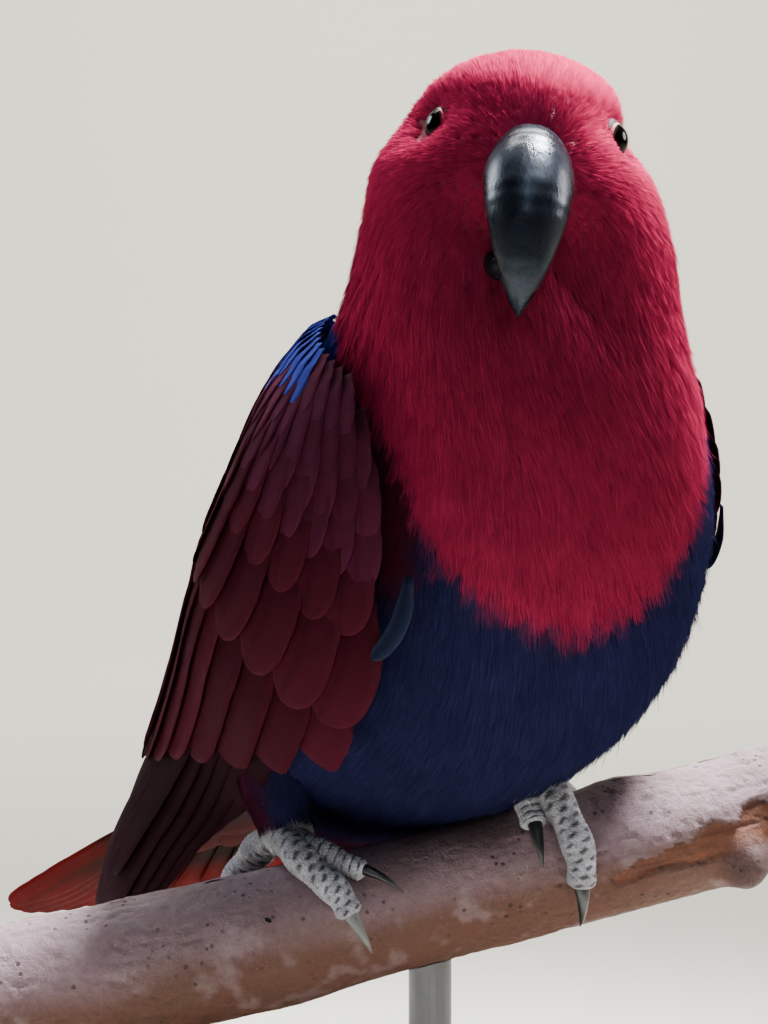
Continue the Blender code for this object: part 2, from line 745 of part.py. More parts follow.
def slice_of(whole, start, end):
    """The part of the whole between two cuts, each half a gap inside its plane."""
    bm = bmesh.new()
    bm.from_mesh(whole.data)
    for t, sense in ((start, -1), (end, 1)):
        if t is None:
            continue
        point, along = parting_plane(t)
        geometry = bm.verts[:] + bm.edges[:] + bm.faces[:]
        cut_ = bmesh.ops.bisect_plane(
            bm, geom=geometry, plane_co=point - along * (sense * GAP / 2),
            plane_no=along * sense, clear_outer=True, dist=1e-7,
        )
        rim = [e for e in cut_["geom_cut"] if isinstance(e, bmesh.types.BMEdge)]
        cap = bmesh.ops.contextual_create(bm, geom=rim)
        bmesh.ops.poke(bm, faces=cap["faces"])
    bmesh.ops.recalc_face_normals(bm, faces=bm.faces)
    bmesh.ops.triangulate(bm, faces=bm.faces)
    return add_object("slice", bm, "red_plumage")


def make_body():
    whole = body_form()
    start, made = None, {}
    for name, end, slot in BODY_PARTS:
        made[name] = finish(slice_of(whole, start, end), name, slot)
        start = end
    bpy.data.objects.remove(whole)

    cut(made["head"], [make_dish(side) for side in ("right", "left")])
    lids = [make_lid(side) for side in ("right", "left")]
    combine(made["head"], lids, "UNION")
    hollows = [make_upper_bill(GAP), make_lower_bill(GAP)]
    for side in ("right", "left"):
        hollows += [make_eyeball(side, GAP), make_nostril(side)]
    cut(made["head"], hollows)
    cut(made["neck"], [make_lower_bill(GAP), make_upper_bill(GAP)])
    for name in ("breast", "belly", "rump"):
        cut(made[name], [perch_form(grow=GAP)])
    for name, slot in (("head", "red_plumage"), ("neck", "red_plumage")):
        finish(made[name], name, slot)
    for side in ("right", "left"):
        finish(make_eyeball(side), f"eye_{side}", "eye")
    upper = make_upper_bill()
    finish(upper, "bill_upper", "horn")
    lower = make_lower_bill()
    cut(lower, [make_upper_bill(GAP)])
    finish(lower, "bill_lower", "horn")
    return made


# Feathers


def vane(centres, sides, ups, widths, thickness):
    """A closed thin vane, four corners to a section.

    Both faces are split into triangles alike, so that they never cross where the vane bends.
    """
    bm = bmesh.new()
    rows = []
    for i, centre in enumerate(centres):
        side, up, width = sides[i], ups[i], widths[i]
        thin = thickness * (0.75 if i == len(centres) - 1 else 1.0)
        top = (centre - side * width, centre + side * width)
        rows.append([[bm.verts.new(p - up * drop) for p in top] for drop in (0.0, thin)])
    for one, two in zip(rows, rows[1:]):
        (a, b), (e, f) = one
        (d, c), (h, g) = two
        for corners in ((a, b, c, d), (e, f, g, h), (a, d, h, e), (b, c, g, f)):
            bm.faces.new((corners[0], corners[1], corners[2]))
            bm.faces.new((corners[0], corners[2], corners[3]))
    for row in (rows[0], rows[-1]):
        (a, b), (e, f) = row
        bm.faces.new((a, b, f))
        bm.faces.new((a, f, e))
    bmesh.ops.recalc_face_normals(bm, faces=bm.faces)
    return add_object("vane", bm, "maroon_plumage")


def vane_width(x, half_width, round_tip=0.16):
    """Half width of a feather's vane at x of its length: a narrow root and a rounded tip."""
    root = 0.55 + 0.45 * min(x / 0.35, 1.0)
    tip = 1.0 if x < 1 - round_tip else math.sqrt(max(1 - ((x - 1 + round_tip) / round_tip) ** 2, 0.0))
    return half_width * root * max(tip, 0.34)


LONG_STOPS = (0.0, 0.4, 0.78, 0.93, 1.0)  # places of a long vane's sections along it
SHORT_STOPS = (0.0, 0.5, 0.86, 1.0)
LONG_RINGS = 3.0  # rings of the wing's form beyond which a vane is long


# The edges of the folded wing on its form: (ring, front angle, back angle)
WING_EDGES = (
    (0.0, 88, 128),
    (0.4, 62, 140),
    (0.8, 55, 148),
    (1.2, 48, 155),
    (2.0, 50, 162),
    (3.0, 52, 167),
    (4.0, 60, 170),
    (5.0, 72, 170),
    (6.0, 82, 165),
)
WING_SETBACK = {"right": 0.0, "left": 28.0}  # degrees by which the front edge is further back
WING_LIFT = {"right": 0.0, "left": 0.3 * MM}  # further out where the body is fuller
CORE_START, CORE_END = 0.3, 4.4
CORE_SINK = 1.8 * MM  # from the wing's form down to the slab's outer face
CORE_DEPTH = 4.0 * MM  # thickness of the slab
RIM_SINK = 1.6 * MM  # by which its outer face falls away at its rim

# Tiers: feathers, root ring, root angles, tip rings, tip angles, half width, thickness, lifts in mm
# Angles and rings run from the wing's front edge to its back edge.
WING_TIERS = {
    "primaries": (4, 3.2, (64, 86), (6.4, 8.7, 6.9), (77, 101), 10.5, 0.7, (-4.2, -2.6)),
    "secondaries": (6, 2.2, (58, 134), (2.95, 5.0, 6.0), (54, 140), 10.0, 0.7, (-2.8, -1.4)),
    "tertials": (2, 1.8, (142, 158), (5.3, 5.1, 4.9), (152, 168), 10.0, 0.7, (-2.2, -0.6)),
    "greater_coverts": (5, 1.35, (57, 144), (2.5, 2.95, 3.3), (55, 150), 10.5, 0.7, (-2.4, -0.6)),
    "median_coverts": (5, 0.85, (66, 144), (1.7, 2.0, 2.2), (62, 150), 10.5, 0.7, (-2.2, -0.2)),
}
VANE_TILT = 7.0  # degrees by which each feather leans over the next one outward
# The small feather at the wing's bend: root, tip, half width, thickness, lifts
ALULA = ((1.0, 50.0), (2.1, 50.0), 4.2, 0.8, (-0.8, 0.6))


def three_way(values, x):
    """A value on the parabola through three values at 0, one half and 1."""
    first, middle, last = values
    return first * (1 - x) * (1 - 2 * x) + middle * 4 * x * (1 - x) + last * x * (2 * x - 1)


def wing_angle(side, angle):
    """The angle on the form for one wing: the left wing's front edge lies further back."""
    setback = WING_SETBACK[side]
    moved_back = angle + setback * max(0.0, (120 - angle) / 80)
    return moved_back if side == "right" else -moved_back


def wing_vane(side, root, tip, half_width, thickness, lifts):
    """A feather that follows the wing's form from (ring, angle) at its root to its tip."""
    centres, sides, ups, widths = [], [], [], []
    stops = LONG_STOPS if tip[0] > root[0] + LONG_RINGS else SHORT_STOPS
    for x in stops:
        t = root[0] + (tip[0] - root[0]) * x
        bow = math.sin(math.pi * x) * 1.5
        angle = wing_angle(side, root[1] + (tip[1] - root[1]) * x**1.2 - bow)
        lift = (lifts[0] + (lifts[1] - lifts[0]) * min(x / 0.4, 1.0)) * MM + WING_LIFT[side]
        centres.append(WING.point(t, angle, lift))
        ups.append(WING.normal(t, angle))
        widths.append(vane_width(x, half_width) * MM)
    for i in range(len(stops)):
        along = (centres[min(i + 1, len(stops) - 1)] - centres[max(i - 1, 0)]).normalized()
        across = along.cross(ups[i]).normalized()
        lean = math.radians(VANE_TILT if side == "right" else -VANE_TILT)
        across = across * math.cos(lean) - ups[i] * math.sin(lean)
        ups[i] = across.cross(along).normalized()
        sides.append(across)
    centres, sides, ups = (
        [BIRD @ p for p in centres],
        [BIRD.to_3x3() @ v for v in sides],
        [BIRD.to_3x3() @ v for v in ups],
    )
    return vane(centres, sides, ups, widths, thickness * MM)


def wing_core(side, rows=6, columns=7):
    """The slab under the coverts, from just outside the body to the wing's form."""
    edges = np.array(WING_EDGES, float)
    bm = bmesh.new()
    outer, inner = [], []
    for i in range(rows + 1):
        t = CORE_START + (CORE_END - CORE_START) * i / rows
        front = np.interp(t, edges[:, 0], edges[:, 1]) + 5
        back = np.interp(t, edges[:, 0], edges[:, 2]) - 5
        for grid in (outer, inner):
            grid.append([])
        for k in range(columns + 1):
            v = k / columns
            angle = wing_angle(side, front + (back - front) * v)
            over = WING.point(t, angle, WING_LIFT[side] - CORE_SINK)
            out = WING.normal(t, angle)
            rim = (2 * v - 1) ** 6 + max(0.0, i / rows - 0.75) * 4
            outer[-1].append(bm.verts.new(BIRD @ (over - out * (RIM_SINK * min(rim, 1.0)))))
            inner[-1].append(bm.verts.new(BIRD @ (over - out * CORE_DEPTH)))
    for i in range(rows):
        for k in range(columns):
            for grid in (outer, inner):
                a, b, c, d = grid[i][k], grid[i][k + 1], grid[i + 1][k + 1], grid[i + 1][k]
                bm.faces.new((a, b, c))
                bm.faces.new((a, c, d))
    rim = [(i, 0) for i in range(rows)] + [(rows, k) for k in range(columns)]
    rim += [(rows - i, columns) for i in range(rows)] + [(0, columns - k) for k in range(columns)]
    for (i, k), (m, n) in zip(rim, rim[1:] + rim[:1]):
        a, b, c, d = outer[i][k], outer[m][n], inner[m][n], inner[i][k]
        bm.faces.new((a, b, c))
        bm.faces.new((a, c, d))
    bmesh.ops.recalc_face_normals(bm, faces=bm.faces)
    return add_object("core", bm, "maroon_plumage")


def make_wing(side):
    pieces = [wing_core(side)]
    for count, root_t, root_angles, tip_ts, tip_angles, width, thick, lifts in WING_TIERS.values():
        for i in range(count):
            v = i / (count - 1)
            root = (root_t, root_angles[0] + (root_angles[1] - root_angles[0]) * v)
            tip = (three_way(tip_ts, v), tip_angles[0] + (tip_angles[1] - tip_angles[0]) * v**1.1)
            pieces.append(wing_vane(side, root, tip, width, thick, lifts))
    pieces.append(wing_vane(side, *ALULA))
    wing = join(f"wing_{side}", pieces, "maroon_plumage")
    cut(wing, [body_form(grow=GAP)])
    return finish(wing, f"wing_{side}", "maroon_plumage")


def tail_vane(place, root, length, half_width, thickness, droop):
    """A feather in the tail's frame. Place is its number from the middle, left positive."""
    turn = math.radians(place * TAIL_SPREAD)
    along = Vector((math.cos(turn), math.sin(turn), 0.0))
    side = TAIL.to_3x3() @ Vector((-math.sin(turn), math.cos(turn), 0.0))
    up = TAIL.to_3x3() @ Vector((0.0, 0.0, 1.0))
    centres, widths = [], []
    for x in LONG_STOPS if droop == TAIL_DROOP else SHORT_STOPS:
        sag = Vector((0, 0, -droop * x * x))
        centres.append(TAIL @ (root + along * (length * x) + sag))
        widths.append(vane_width(x, half_width))
    count = len(centres)
    return vane(centres, [side] * count, [up] * count, widths, thickness)


def tail_root():
    """The flat wedge that holds the tail feathers' roots."""
    rings = []
    for i in range(5):
        x = i / 4
        wide, tall = (12.0 + 3.5 * x) * MM, (7.0 - 4.6 * x) * MM
        centre = Vector((-5 + 30 * x, 0, -1.6 - 0.6 * x)) * MM
        rings.append([
            TAIL @ (centre + Vector((0, wide * math.cos(a), tall * math.sin(a))))
            for a in (2 * math.pi * k / 12 for k in range(12))
        ])
    return loft(rings)


# Coverts over and under the tail's root: feathers, length, height, spread in degrees, droop
TAIL_COVERTS = (
    (3, 46.0 * MM, 2.6 * MM, 2.4, 1.0 * MM),
    (4, 56.0 * MM, -6.6 * MM, 1.9, 1.5 * MM),
)
COVERT_SPACING = 5.4 * MM
COVERT_STEP = 0.3 * MM
COVERT_HALF_WIDTH = 8.5 * MM
COVERT_THICKNESS = 0.7 * MM
COVERT_SHORTENING = 5.0 * MM  # for each feather away from the middle


def make_tail(root_piece):
    """Twelve tail feathers stepped down from the middle, with coverts above and below."""
    pieces = [root_piece, tail_root()]
    outermost = (TAIL_FEATHERS - 1) / 2
    for i in range(TAIL_FEATHERS):
        place = i - outermost
        root = Vector((2.0 * MM, place * TAIL_ROOT_SPACING, -TAIL_STEP * (abs(place) - 0.5)))
        length = TAIL_LENGTH * (1.06 - 0.20 * (abs(place) / outermost) ** 2.5)
        pieces.append(tail_vane(place, root, length, TAIL_HALF_WIDTH, TAIL_THICKNESS, TAIL_DROOP))
    for count, length, height, spread, droop in TAIL_COVERTS:
        for i in range(count):
            place = i - (count - 1) / 2
            root = Vector((-3.0 * MM, place * COVERT_SPACING, height - COVERT_STEP * abs(place)))
            reach = length - COVERT_SHORTENING * abs(place)
            pieces.append(
                tail_vane(place * spread, root, reach, COVERT_HALF_WIDTH, COVERT_THICKNESS, droop)
            )
    return join("tail", pieces, "tail_plumage")


def main():
    clear_scene()
    bark = perch_form()
    finish(bark, "perch", "bark")
    body = make_body()
    make_tail(body["tail"])
    for side in ("right", "left"):
        make_wing(side)
    make_feet([body["breast"], body["belly"]])
    make_stand()


main()
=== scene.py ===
"""The looks of a female eclectus parrot gripping a branch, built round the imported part.

World axes are the part's own: +X to the bird's left, -Y towards the viewer, +Z up, in metres.
The bird's forms are read as (ring, angle): rings run from the crown to the tail, and angle 0 is
the front or underside, 90 the bird's right side and 180 its back.
"""

import math

import bmesh
import bpy
import numpy as np
from mathutils import Matrix, Vector, noise
from mathutils.bvhtree import BVHTree


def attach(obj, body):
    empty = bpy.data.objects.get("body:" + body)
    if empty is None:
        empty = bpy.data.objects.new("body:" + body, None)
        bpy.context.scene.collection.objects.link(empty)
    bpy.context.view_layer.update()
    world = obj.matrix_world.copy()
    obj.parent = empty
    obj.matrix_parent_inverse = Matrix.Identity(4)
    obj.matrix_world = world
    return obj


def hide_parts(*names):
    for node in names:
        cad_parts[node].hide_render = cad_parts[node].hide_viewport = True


MM = 0.001

# Sizes shared with the part
BIRD_TURN = 32.0
PERCH_TOP = np.array((0.006, -0.020, 0.088))
PERCH_RADIUS = 15.1 * MM
PERCH_LEFT, PERCH_RIGHT = -0.114, 0.104
PERCH_TURN, PERCH_RISE, PERCH_SAG, PERCH_TAPER = 10.0, 12.5, 0.15, 0.0075

# (forward, up, side, lean, turn, roll, half width, front depth, back depth) in mm and degrees
BODY_RINGS = (
    (37.0, 175.0, 2.2, 0, -33, 5, 0.7, 0.7, 0.7),
    (37.0, 172.5, 2.0, 0, -33, 5, 12.0, 11.5, 13.0),
    (37.5, 166.5, 1.4, 0, -33, 5, 19.3, 19.4, 22.5),
    (37.5, 157.0, 0.4, 0, -33, 5, 23.0, 23.5, 27.5),
    (37.0, 146.0, -0.4, 0, -33, 5, 30.2, 26.0, 31.5),
    (36.0, 134.0, -0.4, 2, -31, 5, 34.4, 29.0, 34.0),
    (33.5, 120.5, 0.6, 14, -25, 4, 37.6, 35.0, 35.0),
    (28.5, 104.5, 3.6, 28, -14, 3, 43.0, 45.5, 38.5),
    (19.0, 86.0, 6.2, 39, -5, 1, 50.6, 54.8, 40.5),
    (6.5, 67.5, 7.2, 46, 0, 0, 53.8, 57.0, 40.5),
    (-10.5, 50.0, 5.6, 51, 0, 0, 52.2, 53.0, 38.5),
    (-31.0, 34.0, 4.4, 56, 0, 0, 45.6, 43.0, 34.0),
    (-52.0, 20.5, 3.4, 60, 0, 0, 36.2, 33.0, 27.0),
    (-69.0, 11.0, 1.4, 63, 0, 0, 23.0, 19.0, 16.0),
    (-79.0, 6.0, 0.8, 65, 0, 0, 12.0, 9.5, 8.5),
)
WING_RINGS = (
    (28.5, 105.5, 2.0, 27, -11, 0, 46.0, 49.5, 42.0),
    (19.0, 86.5, 4.0, 39, -4, 0, 56.0, 62.0, 45.5),
    (5.5, 67.5, 5.0, 46, 0, 0, 60.5, 67.5, 46.5),
    (-12.0, 49.5, 4.5, 50, 0, 0, 59.5, 64.0, 45.0),
    (-32.5, 32.0, 3.2, 50, 0, 0, 52.5, 51.5, 40.0),
    (-53.5, 14.0, 1.8, 49, 0, 0, 46.5, 40.0, 34.5),
    (-72.5, -3.5, 0.8, 48, 0, 0, 44.0, 33.0, 29.0),
    (-89.5, -20.5, 0.0, 47, 0, 0, 42.0, 28.0, 23.0),
    (-104.0, -36.0, 0.0, 46, 0, 0, 38.0, 23.0, 18.0),
    (-117.0, -50.0, 0.0, 45, 0, 0, 34.0, 19.0, 14.0),
)
# Swellings and hollows of the body: (ring, angle, height in mm, spread in rings and in degrees),
# behind the right eye, round each eye and beside the lower bill
BODY_SWELLS = (
    (3.2, 112.0, 6.3, 1.35, 34.0),
    (3.1, 66.0, -1.5, 0.5, 20.0),
    (3.1, -66.0, -1.5, 0.5, 20.0),
    (5.3, 17.0, -4.6, 0.7, 13.0),
    (5.3, -17.0, -4.6, 0.7, 13.0),
)
WING_START = 7.0  # the body's ring at the wing form's ring 0
HEAD_CENTRE = np.array((37.5, 0.2, 155.0)) * MM
HEAD_TURN, HEAD_ROLL = -33.0, 5.0
EYE_CENTRE = np.array((8.3, 17.0, 0.0)) * MM
EYE_LOOK = 64.0
EYE_RADIUS = 4.7 * MM
BILL_ARC_CENTRE = np.array((17.5, 0.7, -22.5)) * MM
BILL_ARC_RADIUS = 23.0 * MM
BILL_START, BILL_END = 98.0, -56.0
BILL_HALF_WIDTH = 8.9 * MM
BILL_DEPTH = 17.5 * MM
TAIL_ROOT = np.array((-74.0, 0.0, 9.0)) * MM
TAIL_DROP = 25.0

# The camera that took the photo
CAMERA_PLACE = (-0.0047, -0.543, 0.1619)
CAMERA_LENS = 79.1

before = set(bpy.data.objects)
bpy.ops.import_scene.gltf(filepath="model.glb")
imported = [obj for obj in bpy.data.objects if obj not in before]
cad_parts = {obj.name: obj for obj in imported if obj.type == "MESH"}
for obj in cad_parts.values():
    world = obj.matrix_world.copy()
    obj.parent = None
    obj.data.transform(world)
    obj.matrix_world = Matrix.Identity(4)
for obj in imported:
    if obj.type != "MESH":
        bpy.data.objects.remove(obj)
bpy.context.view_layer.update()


# Frames and forms, as arrays


def frame_matrix(origin, forward, left, up):
    """The 4x4 that takes (forward, left, up) coordinates to the frame round it."""
    made = np.eye(4)
    made[:3, 0], made[:3, 1], made[:3, 2], made[:3, 3] = forward, left, up, origin
    return made


def rotation(angle, axis):
    return np.array(Matrix.Rotation(math.radians(angle), 4, axis))


def apply(matrix, points):
    return points @ matrix[:3, :3].T + matrix[:3, 3]


def bird_frame():
    turn = math.radians(BIRD_TURN)
    forward = (math.sin(turn), -math.cos(turn), 0.0)
    left = (math.cos(turn), math.sin(turn), 0.0)
    return frame_matrix(PERCH_TOP, forward, left, (0, 0, 1))


def head_frame():
    shift = np.eye(4)
    shift[:3, 3] = HEAD_CENTRE
    return BIRD @ shift @ rotation(HEAD_TURN, "Z") @ rotation(-HEAD_ROLL, "X")


def tail_frame():
    drop = math.radians(TAIL_DROP)
    back = np.array((-math.cos(drop), 0.0, -math.sin(drop)))
    left = np.array((0.0, 1.0, 0.0))
    return BIRD @ frame_matrix(TAIL_ROOT, back, left, np.cross(left, back))


BIRD = bird_frame()
HEAD = head_frame()
TAIL = tail_frame()


def unit(vectors):
    length = np.linalg.norm(vectors, axis=-1, keepdims=True)
    return vectors / np.maximum(length, 1e-12)


def smooth(low, high, value):
    """0 below low, 1 above high, and smooth between."""
    x = np.clip((value - low) / (high - low), 0.0, 1.0)
    return x * x * (3 - 2 * x)


def mix(one, two, share):
    share = np.asarray(share, float)[..., None]
    return np.asarray(one) * (1 - share) + np.asarray(two) * share


def curve(rows, t):
    """A smooth curve through the rows, read at row numbers t."""
    rows, t = np.asarray(rows, float), np.asarray(t, float)
    last = len(rows) - 1
    i = np.clip(np.floor(t).astype(int), 0, last - 1)
    x = (t - i)[..., None]
    padded = np.vstack([2 * rows[0] - rows[1], rows, 2 * rows[-1] - rows[-2]])
    before, here, there, after = (padded[i + k] for k in range(4))
    slope_in, slope_out = (there - before) / 2, (after - here) / 2
    step = there - here
    return (
        here
        + x * slope_in
        + x**2 * (3 * step - 2 * slope_in - slope_out)
        + x**3 * (slope_in + slope_out - 2 * step)
    )


class Form:
    """A closed form through a table of rings."""

    def __init__(self, rings, swells=()):
        self.rings = np.array(rings, float)
        self.swells = swells
        self.last = len(rings) - 1

    def swell(self, t, angle):
        """The height of the swellings at a ring and angle, in metres."""
        total = 0.0
        for ring, at, height, rings, degrees in self.swells:
            turn = (angle - at + 180) % 360 - 180
            total = total + height * MM * np.exp(-(((t - ring) / rings) ** 2) - (turn / degrees) ** 2)
        return total

    def point(self, t, angle, lift=0.0):
        t, angle = np.broadcast_arrays(np.asarray(t, float), np.asarray(angle, float))
        lift = lift + self.swell(t, angle)
        rows = np.moveaxis(curve(self.rings, t), -1, 0)
        forward, up, side, lean, turn, roll, width, front, back = rows
        lean, turn, roll, angle = (np.radians(x) for x in (lean, turn, roll, angle))
        width = width * MM + lift
        depth = np.where(np.cos(angle) > 0, front, back) * MM + lift
        across, down = -width * np.sin(angle), depth * np.cos(angle)
        x = np.cos(lean) * down
        y = np.cos(roll) * across
        z = -np.sin(lean) * down - np.sin(roll) * across
        bird = np.stack(
            [
                forward * MM + x * np.cos(turn) - y * np.sin(turn),
                side * MM + x * np.sin(turn) + y * np.cos(turn),
                up * MM + z,
            ],
            -1,
        )
        return apply(BIRD, bird)

    def along(self, t, angle):
        """The way the form runs for one ring, towards the tail."""
        low, high = np.maximum(t - 0.05, 0.0), np.minimum(t + 0.05, self.last)
        return (self.point(high, angle) - self.point(low, angle)) / (high - low)[..., None]

    def normal(self, t, angle):
        round_ = self.point(t, angle + 1.0) - self.point(t, angle - 1.0)
        return unit(np.cross(round_, self.along(t, angle)))


BODY = Form(BODY_RINGS, BODY_SWELLS)
WING = Form(WING_RINGS)


def seeded(number):
    return np.random.default_rng(number)


# Markings: the same colours for the skin and the coat, as linear red, green and blue

CRIMSON = (0.44, 0.020, 0.074)
# The red in painted shade, for the front of the throat and breast
PAINTED_SHADE_CRIMSON = (0.13, 0.011, 0.026)
NAVY = (0.014, 0.015, 0.050)
ROYAL_BLUE = (0.040, 0.050, 0.30)
MAROON = (0.052, 0.0065, 0.014)
# (angle, ring) along the lower edge of the red bib, and along the lower edge of the blue mantle
BIB_EDGE = (
    (-180, 6.3), (-120, 6.4), (-90, 6.75), (-66, 7.25), (-40, 7.55), (-15, 7.95), (8, 8.2),
    (30, 8.08), (45, 7.85), (55, 7.4), (81, 7.1), (95, 6.72), (120, 6.52), (180, 6.4),
)
MANTLE_EDGE = (
    (-180, 7.75), (-110, 7.9), (-80, 12.0), (80, 12.0), (85, 7.3), (110, 7.9), (180, 7.75),
)
BELLY_END = 11.7
MARKING_SOFTNESS = 0.09  # half the width of the markings' edges, in rings
FLANK = (44.0, 8.6)  # the maroon before the right wing: its front angle and lowest ring


def edge_ring(edge, angle):
    table = np.array(edge, float)
    return np.interp(angle, table[:, 0], table[:, 1])


def marking(t, angle):
    """The plumage's colour at a ring and angle of the body, with painted shade down the front of the
    lower face, throat and breast.
    """
    angle = (np.asarray(angle, float) + 180) % 360 - 180
    # Painted shade: the red darkens down the middle of the front below the face, where the bill and brow
    # shade it
    shaded = 0.55 * smooth(3.4, 5.6, t) * smooth(72, 28, np.abs(angle))
    red = mix(CRIMSON, PAINTED_SHADE_CRIMSON, shaded)
    below = smooth(-MARKING_SOFTNESS, MARKING_SOFTNESS, t - edge_ring(BIB_EDGE, angle))
    side = np.abs(angle)
    blue = mix(NAVY, ROYAL_BLUE, smooth(62, 85, side))
    colour = mix(red, blue, below)
    maroon = smooth(-0.12, 0.12, t - edge_ring(MANTLE_EDGE, angle))
    flank = smooth(FLANK[0], FLANK[0] + 8, angle) * smooth(FLANK[1], FLANK[1] - 0.4, t) * (angle < 90)
    maroon = np.maximum(maroon, flank * below)
    maroon = np.maximum(maroon, smooth(BELLY_END - 0.3, BELLY_END + 0.5, t))
    return mix(colour, MAROON, maroon)


# Colours of everything else, dark and light where there are two
HORN = ((0.0045, 0.0055, 0.0088), (0.011, 0.0135, 0.021))
WORN_HORN = (0.06, 0.08, 0.105)
BILL_GLOSS = (0.62, 0.78, 1.0, 1.0)
PUPIL = (0.0012, 0.001, 0.001)
INNER_IRIS = (0.022, 0.012, 0.007)
OUTER_IRIS = ((0.42, 0.36, 0.24), (0.62, 0.56, 0.42))
EYE_RIM = (0.012, 0.010, 0.010)
LID_SKIN = ((0.14, 0.17, 0.21), (0.24, 0.28, 0.33))
FOOT_SKIN = ((0.36, 0.35, 0.38), (0.60, 0.59, 0.66))
SCUTE_BAR = (0.13, 0.12, 0.15)
BARK_TOP, BARK_UNDER = (0.33, 0.215, 0.24), (0.15, 0.062, 0.040)
BARK_BLOOM, BARK_BROWN, BARK_SCUFF = (0.42, 0.32, 0.34), (0.13, 0.075, 0.055), (0.30, 0.25, 0.26)
LENTICEL = (0.035, 0.022, 0.018)
TORN_WOOD = ((0.10, 0.028, 0.016), (0.34, 0.12, 0.055))
TORN_EDGE, KNOT_SHADE, SCAR_SHADE = (0.022, 0.010, 0.008), (0.085, 0.045, 0.045), (0.03, 0.018, 0.018)
SAWN_END = (0.33, 0.23, 0.13)
OILED_WOOD, WOOD_PORE = ((0.045, 0.022, 0.011), (0.14, 0.075, 0.036)), (0.02, 0.01, 0.006)
METAL = ((0.10, 0.10, 0.105), (0.16, 0.16, 0.165))
PAPER = ((0.58, 0.555, 0.49), (0.56, 0.535, 0.47))
ALULA_COLOURS = ((0.008, 0.010, 0.024), (0.022, 0.030, 0.060))

# Where the eye changes colour, in degrees from its line of sight
PUPIL_EDGE, IRIS_EDGE, RIM_EDGE = (43.0, 47.0), (49.5, 52.0), (56.5, 59.0)


# Materials


class Value:
    """A socket of a node tree, with arithmetic that adds its Math nodes."""

    def __init__(self, look, socket):
        self.look = look
        self.socket = socket

    def __add__(self, other):
        return self.look.math("ADD", self, other)

    __radd__ = __add__

    def __sub__(self, other):
        return self.look.math("SUBTRACT", self, other)

    def __rsub__(self, other):
        return self.look.math("SUBTRACT", other, self)

    def __mul__(self, other):
        return self.look.math("MULTIPLY", self, other)

    __rmul__ = __mul__


class Look:
    """A material and its nodes. Values may be numbers, colours or linked Value sockets."""

    def __init__(self, name, **fixed):
        self.material = bpy.data.materials.new(name)
        self.material.use_nodes = True
        self.tree = self.material.node_tree
        self.shader = self.tree.nodes["Principled BSDF"]
        for key, value in fixed.items():
            self.set(key.replace("_", " ").title().replace("Ior", "IOR"), value)

    def set(self, key, value):
        self.feed(self.shader.inputs[key], value)

    def feed(self, socket, value):
        if isinstance(value, Value):
            self.tree.links.new(value.socket, socket)
        elif isinstance(value, tuple) and len(value) == 3 and socket.type == "RGBA":
            socket.default_value = (*value, 1.0)
        else:
            socket.default_value = value

    def node(self, kind, settings=None, inputs=None, output=0):
        made = self.tree.nodes.new(kind)
        for key, value in (settings or {}).items():
            setattr(made, key, value)
        for key, value in (inputs or {}).items():
            self.feed(made.inputs[key], value)
        return Value(self, made.outputs[output])

    def math(self, operation, *values):
        inputs = dict(enumerate(values))
        return self.node("ShaderNodeMath", {"operation": operation}, inputs)

    def place(self):
        return self.node("ShaderNodeTexCoord", output="Object")

    def part(self, vector, index):
        return self.node("ShaderNodeSeparateXYZ", inputs={0: vector}, output=index)

    def stretched(self, scale):
        """The object's coordinates, scaled by three numbers."""
        settings = {"operation": "MULTIPLY"}
        return self.node("ShaderNodeVectorMath", settings, {0: self.place(), 1: scale})

    def noise(self, scale, detail=3.0, rough=0.55, vector=None):
        """Noise from about 0 to 1."""
        inputs = {"Vector": vector or self.place(), "Scale": scale}
        inputs.update({"Detail": detail, "Roughness": rough})
        return self.node("ShaderNodeTexNoise", None, inputs, "Fac")

    def cells(self, scale, feature="F1", vector=None):
        inputs = {"Vector": vector or self.place(), "Scale": scale}
        return self.node("ShaderNodeTexVoronoi", {"feature": feature}, inputs, "Distance")

    def ramp(self, value, low, high, start=0.0, end=1.0):
        """A smooth step from start, where value is low, to end, where it is high."""
        inputs = {0: value, 1: low, 2: high, 3: start, 4: end}
        return self.node("ShaderNodeMapRange", {"interpolation_type": "SMOOTHSTEP"}, inputs)

    def colours(self, factor, one, two, blend="MIX"):
        settings = {"data_type": "RGBA", "blend_type": blend}
        return self.node("ShaderNodeMix", settings, {0: factor, 6: one, 7: two}, 2)

    def scaled(self, colour, factor):
        """A colour made brighter or darker by a number."""
        return self.node("ShaderNodeVectorMath", {"operation": "SCALE"}, {0: colour, "Scale": factor})

    def attribute(self, name, output="Color"):
        return self.node("ShaderNodeAttribute", {"attribute_name": name}, output=output)

    def map(self, name):
        return self.node("ShaderNodeUVMap", {"uv_map": name})

    def bump(self, height, distance, strength=1.0):
        inputs = {"Height": height, "Distance": distance, "Strength": strength}
        self.set("Normal", self.node("ShaderNodeBump", None, inputs))


def coat_look():
    """Fine soft strands in their own colours, shaded by the lie of the plumage round them."""
    look = Look("coat", roughness=0.6)
    look.set("Specular IOR Level", 0.0)
    patches = look.noise(90.0, 3.0) * 0.4 + 0.8
    look.set("Base Color", look.scaled(look.attribute("Tint"), patches))
    look.set("Normal", look.attribute("Lie", "Vector"))
    return look.material


def skin_look():
    """The skin and down under the coat, in the coat's colours but darker: painted shade under the coat.
    """
    look = Look("skin", roughness=0.8)
    down = look.noise(900.0, 4.0) * 0.4 + 0.7
    look.set("Base Color", look.scaled(look.attribute("Tint"), down))
    look.bump(look.noise(1500.0, 3.0), 0.4 * MM)
    return look.material


